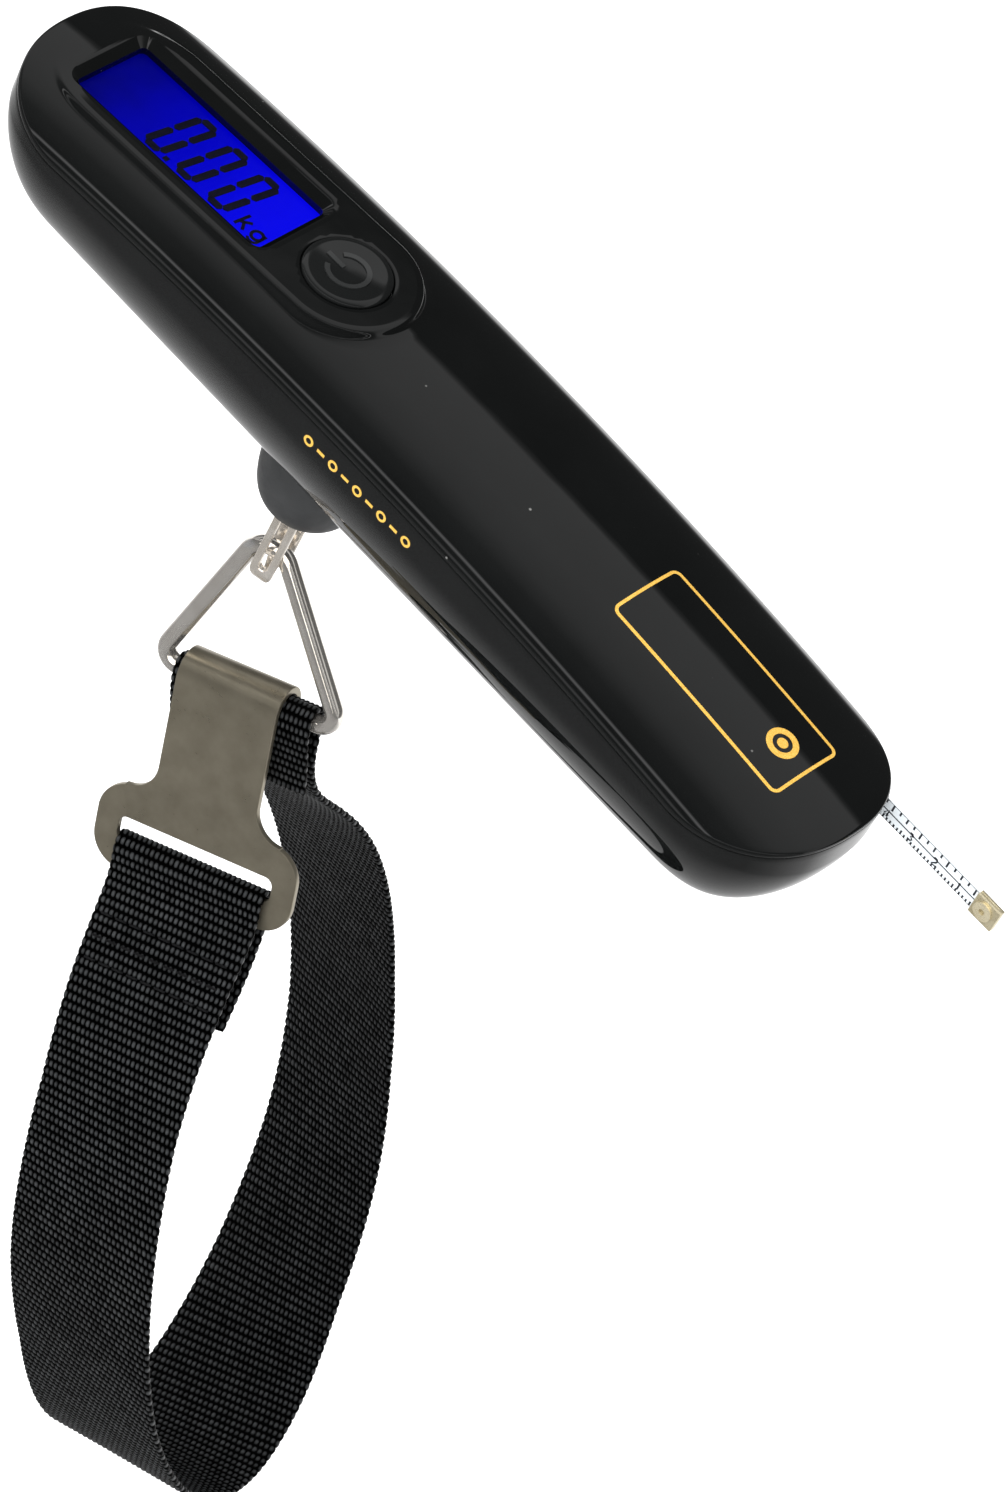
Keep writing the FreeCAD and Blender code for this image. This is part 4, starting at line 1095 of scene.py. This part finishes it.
def build_stitches():
    """Lockstitch rows through the doubled webbing beside the ring's bar and the hook's slot."""
    shares = np.linspace(0, 1, 3000)
    _, _, _, _, total, station_of = web_frame(shares)
    generator = np.random.default_rng(11)
    pitch = STITCH_LENGTH + STITCH_GAP
    pieces = []
    for target in STITCH_STATIONS:
        sample = np.interp(target, station_of, shares)
        centre, across, out, half, _, _ = web_frame([sample, sample + 1.0 / total])
        along = (centre[1] - centre[0]) / np.linalg.norm(centre[1] - centre[0])
        count = int((2 * half[0] - STITCH_MARGIN) / pitch)
        for side in (1, -1):
            for k in range(count):
                start = (k - count / 2) * pitch + generator.normal(0, 0.05)
                rows = []
                for share in np.linspace(0, 1, STITCH_STEPS):
                    rise = 0.62 + 0.12 * math.sin(math.pi * share) - (0.3 if share in (0, 1) else 0.0)
                    spot = centre[0] + across[0] * (start + STITCH_LENGTH * share) + out[0] * side * rise
                    rows.append([spot + u * along + v * out[0] for u, v in circle(STITCH_RADIUS, 8)])
                pieces.append(sheet("stitch", moved(rows, HOOK_FRAME), THREAD, wrap_columns=True, caps=True))
    seam = merged("strap_stitches", pieces)
    keep(seam, "strap")


build_stitches()


# ---- tape measure ----
TAPE_Y = 11.5
TAPE_Z = 19.3
TAPE_WIDTH = 3.6
TAPE_OUT_X = 121.5
TAB_LENGTH = 3.6
TAPE_FACE = TAPE_Y - 0.1


def on_tape(points):
    """Lays (x, z, lift) points on the -Y face of the tape."""
    return np.stack([points[:, 0], TAPE_FACE - points[:, 2], points[:, 1] + TAPE_Z], 1)


# Strokes of the tape's figures on a grid one unit high.
FIGURES = {
    "1": ((0.12, 0.72), (0.32, 1.0), (0.32, 0.0)),
    "2": ((0.02, 0.78), (0.2, 1.0), (0.45, 0.98), (0.58, 0.74), (0.5, 0.5), (0.05, 0.02), (0.6, 0.0)),
    "3": ((0.05, 0.95), (0.4, 1.0), (0.55, 0.76), (0.28, 0.54), (0.58, 0.3), (0.42, 0.03), (0.02, 0.06)),
    "4": ((0.46, 0.0), (0.46, 1.0), (0.02, 0.3), (0.64, 0.3)),
    "5": ((0.55, 1.0), (0.12, 1.0), (0.08, 0.56), (0.4, 0.62), (0.58, 0.34), (0.42, 0.03), (0.04, 0.05)),
    "6": ((0.5, 1.0), (0.12, 0.55), (0.08, 0.2), (0.3, 0.0), (0.56, 0.2), (0.5, 0.48), (0.12, 0.42)),
    "7": ((0.03, 1.0), (0.6, 1.0), (0.22, 0.0)),
    "8": ((0.3, 0.54), (0.08, 0.78), (0.3, 1.0), (0.54, 0.78), (0.06, 0.25), (0.3, 0.0), (0.58, 0.25),
          (0.3, 0.54)),
    "9": ((0.5, 0.56), (0.2, 0.48), (0.06, 0.76), (0.3, 1.0), (0.54, 0.8), (0.5, 0.4), (0.16, 0.0)),
}
FIGURE_HEIGHT = 1.4
FIGURE_STROKE = 0.3
FIGURE_LOW = -1.15
FIGURE_PITCH = 5.0
FIRST_FIGURE_X = 114.3
PRINT_START = 45.0


def build_tape_print():
    """Centre line, edge lines, two rows of ticks and the figures of the scale."""
    half = TAPE_WIDTH / 2
    stop = TAPE_OUT_X - TAB_LENGTH
    paths = [(straight_line((PRINT_START, v), (stop, v), 60), wide, False)
             for v, wide in ((0.0, 0.22), (half - 0.06, 0.1), (-half + 0.06, 0.1))]

    def ticks(first, pitch, edge, way, heights, width):
        count = int((first - PRINT_START) / pitch) + 1
        for k in range(count):
            x = first - k * pitch
            tall = heights[k % len(heights)]
            paths.append(([(x, edge), (x, edge + way * tall)], width, False))

    ticks(stop - 0.4, 0.72, -half + 0.05, 1, (0.84, 0.62, 0.62, 0.62, 0.62), 0.3)
    ticks(stop - 0.6, 1.42, half - 0.1, -1, (1.25, 0.69, 0.94, 0.69), 0.32)
    for figure, strokes in FIGURES.items():
        left = FIRST_FIGURE_X - (int(figure) - 1) * FIGURE_PITCH
        line = [(left + u * FIGURE_HEIGHT, FIGURE_LOW + v * FIGURE_HEIGHT) for u, v in strokes]
        paths.append((line, FIGURE_STROKE, False))
    marks = strips("tape_marks", paths, -0.01, 0.012, on_tape, TAPE_INK)
    keep(marks, "tape")


build_tape_print()


# ---- battery door grip ----
GRIP_RIDGES = 6
GRIP_X = -22.5
GRIP_PITCH = 1.1
GRIP_HALF_LENGTH = 4.6


def under_belly(points):
    """Turns (x, y, lift) points so that lift hangs below the belly."""
    return points * (1, 1, -1)


def build_door_grip():
    taper = np.array([0.1] + [0.5] * 7 + [0.1])
    ridges = [(straight_line((x, -GRIP_HALF_LENGTH), (x, GRIP_HALF_LENGTH), 9), taper, False)
              for x in GRIP_X + GRIP_PITCH * np.arange(GRIP_RIDGES)]
    grip = strips("door_grip", ridges, -0.05, 0.28, under_belly, BLACK)
    keep(grip, "battery_lid")


build_door_grip()


# ---- carried-over CAD nodes ----
CARRIED = {
    "battery_door": BLACK, "window_lens": LENS, "lcd_panel": SCREEN, "boss_cup": BOSS,
    "hook_plate": SATIN, "backlight_guide": MILKY, "display_frame": INNER,
    "zebra_strip": BANDED, "main_board": BOARD, "board_components": EPOXY, "switch_body": EPOXY,
    "switch_plunger": INNER, "battery_cells": CELL, "contact_springs": ZINC, "contact_plates": ZINC,
    "battery_tray": INNER, "load_cell": ALUMINIUM, "load_cell_bracket": ZINC, "anchor_screws": ZINC,
    "strain_gauges": FILM, "pin_washer": ZINC, "signal_cable": SHEATH, "hanging_pin": ZINC,
    "pin_nut": ZINC, "cassette_base": INNER, "cassette_cover": INNER, "spool_axle": ZINC,
    "tape_spool": INNER, "tape_coil": TAPE_PAINT, "return_spring": ZINC, "tape_blade": TAPE_PAINT,
    "tape_end_tab": BRASS, "tab_rivet": BRASS, "tape_mouth": INNER, "case_screws": ZINC,
}
SOFTENED = {"hook_plate": 0.24, "tape_end_tab": 0.06, "battery_door": 0.12}
for name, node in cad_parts.items():
    if name in SOFTENED:
        weld = node.modifiers.new("weld", "WELD")
        weld.merge_threshold = 1e-7
        bevel = node.modifiers.new("soft edges", "BEVEL")
        bevel.width = SOFTENED[name] * MM
        bevel.segments = 3
        bevel.limit_method = "ANGLE"
        bevel.angle_limit = math.radians(50)
        bevel.harden_normals = False
    shade(node, 32)
    if name in CARRIED:
        node.data.materials.clear()
        node.data.materials.append(CARRIED[name])


# ---- floor, light and camera ----
def build_floor():
    """Pale floor that the glossy parts don't mirror: the studio round them does that."""
    low_z = CAD_BOX[0][2] / MM - 60.0
    half = 6000.0
    n = Nodes("pale_floor")
    tone = n.mix(n.noise(0.004, 2.0), rgba(246, 246, 246), rgba(252, 252, 252))
    plain = n.add("BsdfDiffuse", None, Color=tone)
    glow = n.add("Emission", None, Color=tone, Strength=0.5)
    lit = n.add("AddShader", None, i0=plain.outputs[0], i1=glow.outputs[0])
    material = n.finish(lit)
    corners = [(-half, -half, low_z), (half, -half, low_z), (half, half, low_z), (-half, half, low_z)]
    floor = mesh("floor", corners, [(0, 1, 2, 3)], material)
    floor.visible_glossy = False


# Brightness of the studio by bearing round the X axis, in degrees from +Y towards +Z.
STUDIO = ((-180, 0.12), (-150, 0.22), (-115, 0.2), (-92, 0.35), (-62, 0.6), (-50, 1.1), (-16, 1.2),
          (-7, 0.12), (0, 0.05), (46, 0.05), (47.4, 0.5), (66, 0.5), (80, 0.4), (96, 0.14), (120, 0.06),
          (124, 1.6), (128, 0.06), (136, 0.05), (141, 0.7), (147, 0.05), (178, 0.1))


def build_world():
    """Even soft light, a white backdrop, and a banded studio that only mirror reflections see."""
    n = Nodes("studio", world=True)
    place = n.add("TexCoord").outputs["Generated"]
    axes = n.add("SeparateXYZ", None, Vector=place).outputs
    wobble = n.math("MULTIPLY_ADD", n.noise(9.0, 2.0, place, 0.5), 0.035, -0.0175)
    bearing = n.math("ADD", n.math("ARCTAN2", axes[2], axes[1]), wobble)
    ramp = n.add("ValToRGB", None, Fac=n.range(bearing, -math.pi, math.pi, 0.0, 1.0))
    stops = ramp.color_ramp.elements
    stops.remove(stops[-1])
    for k, (angle, level) in enumerate(STUDIO):
        share = (angle + 180) / 360
        stop = stops.new(share) if k else stops[0]
        stop.position = share
        stop.color = (level, level, level, 1)

    def background(colour, strength):
        return n.add("Background", None, Color=colour, Strength=strength).outputs[0]

    white = (1, 1, 1, 1)
    path = n.add("LightPath").outputs
    lit = n.add("MixShader", None, i0=path["Is Glossy Ray"], i1=background(white, 0.8),
                i2=background(ramp.outputs[0], 1.0))
    seen = n.add("MixShader", None, i0=path["Is Camera Ray"], i1=lit.outputs[0], i2=background(white, 1.0))
    bpy.context.scene.world = n.finish(seen)


CAMERA_AIM = Vector((48.4, -1.2, -17.7))
CAMERA_DISTANCE = 1000.0
CAMERA_RIGHT = Vector((0.6677, 0.6648, 0.3349))
CAMERA_UP = Vector((-0.7011, 0.4105, 0.5831))
CAMERA_SENSOR = 36.0
CAMERA_LENS = 162.9


def area_light(name, position, target, size, power, colour=(1, 1, 1)):
    data = bpy.data.lights.new(name, "AREA")
    data.shape = "RECTANGLE"
    data.size, data.size_y = size[0] * MM, size[1] * MM
    data.energy = power
    data.color = colour
    lamp = bpy.data.objects.new(name, data)
    lamp.location = Vector(position) * MM
    back = (Vector(position) - Vector(target)).normalized()
    along = Vector((1, 0, 0))
    across = back.cross(along).normalized()
    along = across.cross(back).normalized()
    lamp.rotation_mode = "QUATERNION"
    lamp.rotation_quaternion = Matrix((along, across, back)).transposed().to_quaternion()
    bpy.context.scene.collection.objects.link(lamp)
    return lamp


def build_lights():
    for lamp in (area_light("key_top", (-200, -300, 900), (15, 0, 0), (900, 500), 9.0),
                 area_light("fill_side", (300, -900, 200), (15, 0, -60), (900, 500), 5.0)):
        lamp.visible_glossy = False
    softbox = area_light("metal_softbox", (60, -740, 560), (0, 0, -50), (1500, 1000), 9.0, (1.0, 0.97, 0.93))
    softbox.visible_camera = False
    plated = bpy.data.collections.new("plated_pieces")
    for name in ("ring_wire", "bent_eyelet", "tape_end_tab", "tab_rivet"):
        plated.objects.link(bpy.data.objects[name])
    softbox.light_linking.receiver_collection = plated


def build_camera():
    right = CAMERA_RIGHT.normalized()
    up = (CAMERA_UP - right * CAMERA_UP.dot(right)).normalized()
    back = right.cross(up)
    data = bpy.data.cameras.new("camera")
    data.sensor_fit = "VERTICAL"
    data.sensor_height = data.sensor_width = CAMERA_SENSOR
    data.lens = CAMERA_LENS
    data.clip_start, data.clip_end = 0.05, 50.0
    camera = bpy.data.objects.new("camera", data)
    camera.location = (CAMERA_AIM + back * CAMERA_DISTANCE) * MM
    camera.rotation_mode = "QUATERNION"
    camera.rotation_quaternion = Matrix((right, up, back)).transposed().to_quaternion()
    bpy.context.scene.collection.objects.link(camera)
    bpy.context.scene.camera = camera


build_floor()
build_world()
build_lights()
build_camera()
bpy.context.scene.view_settings.view_transform = "Standard"
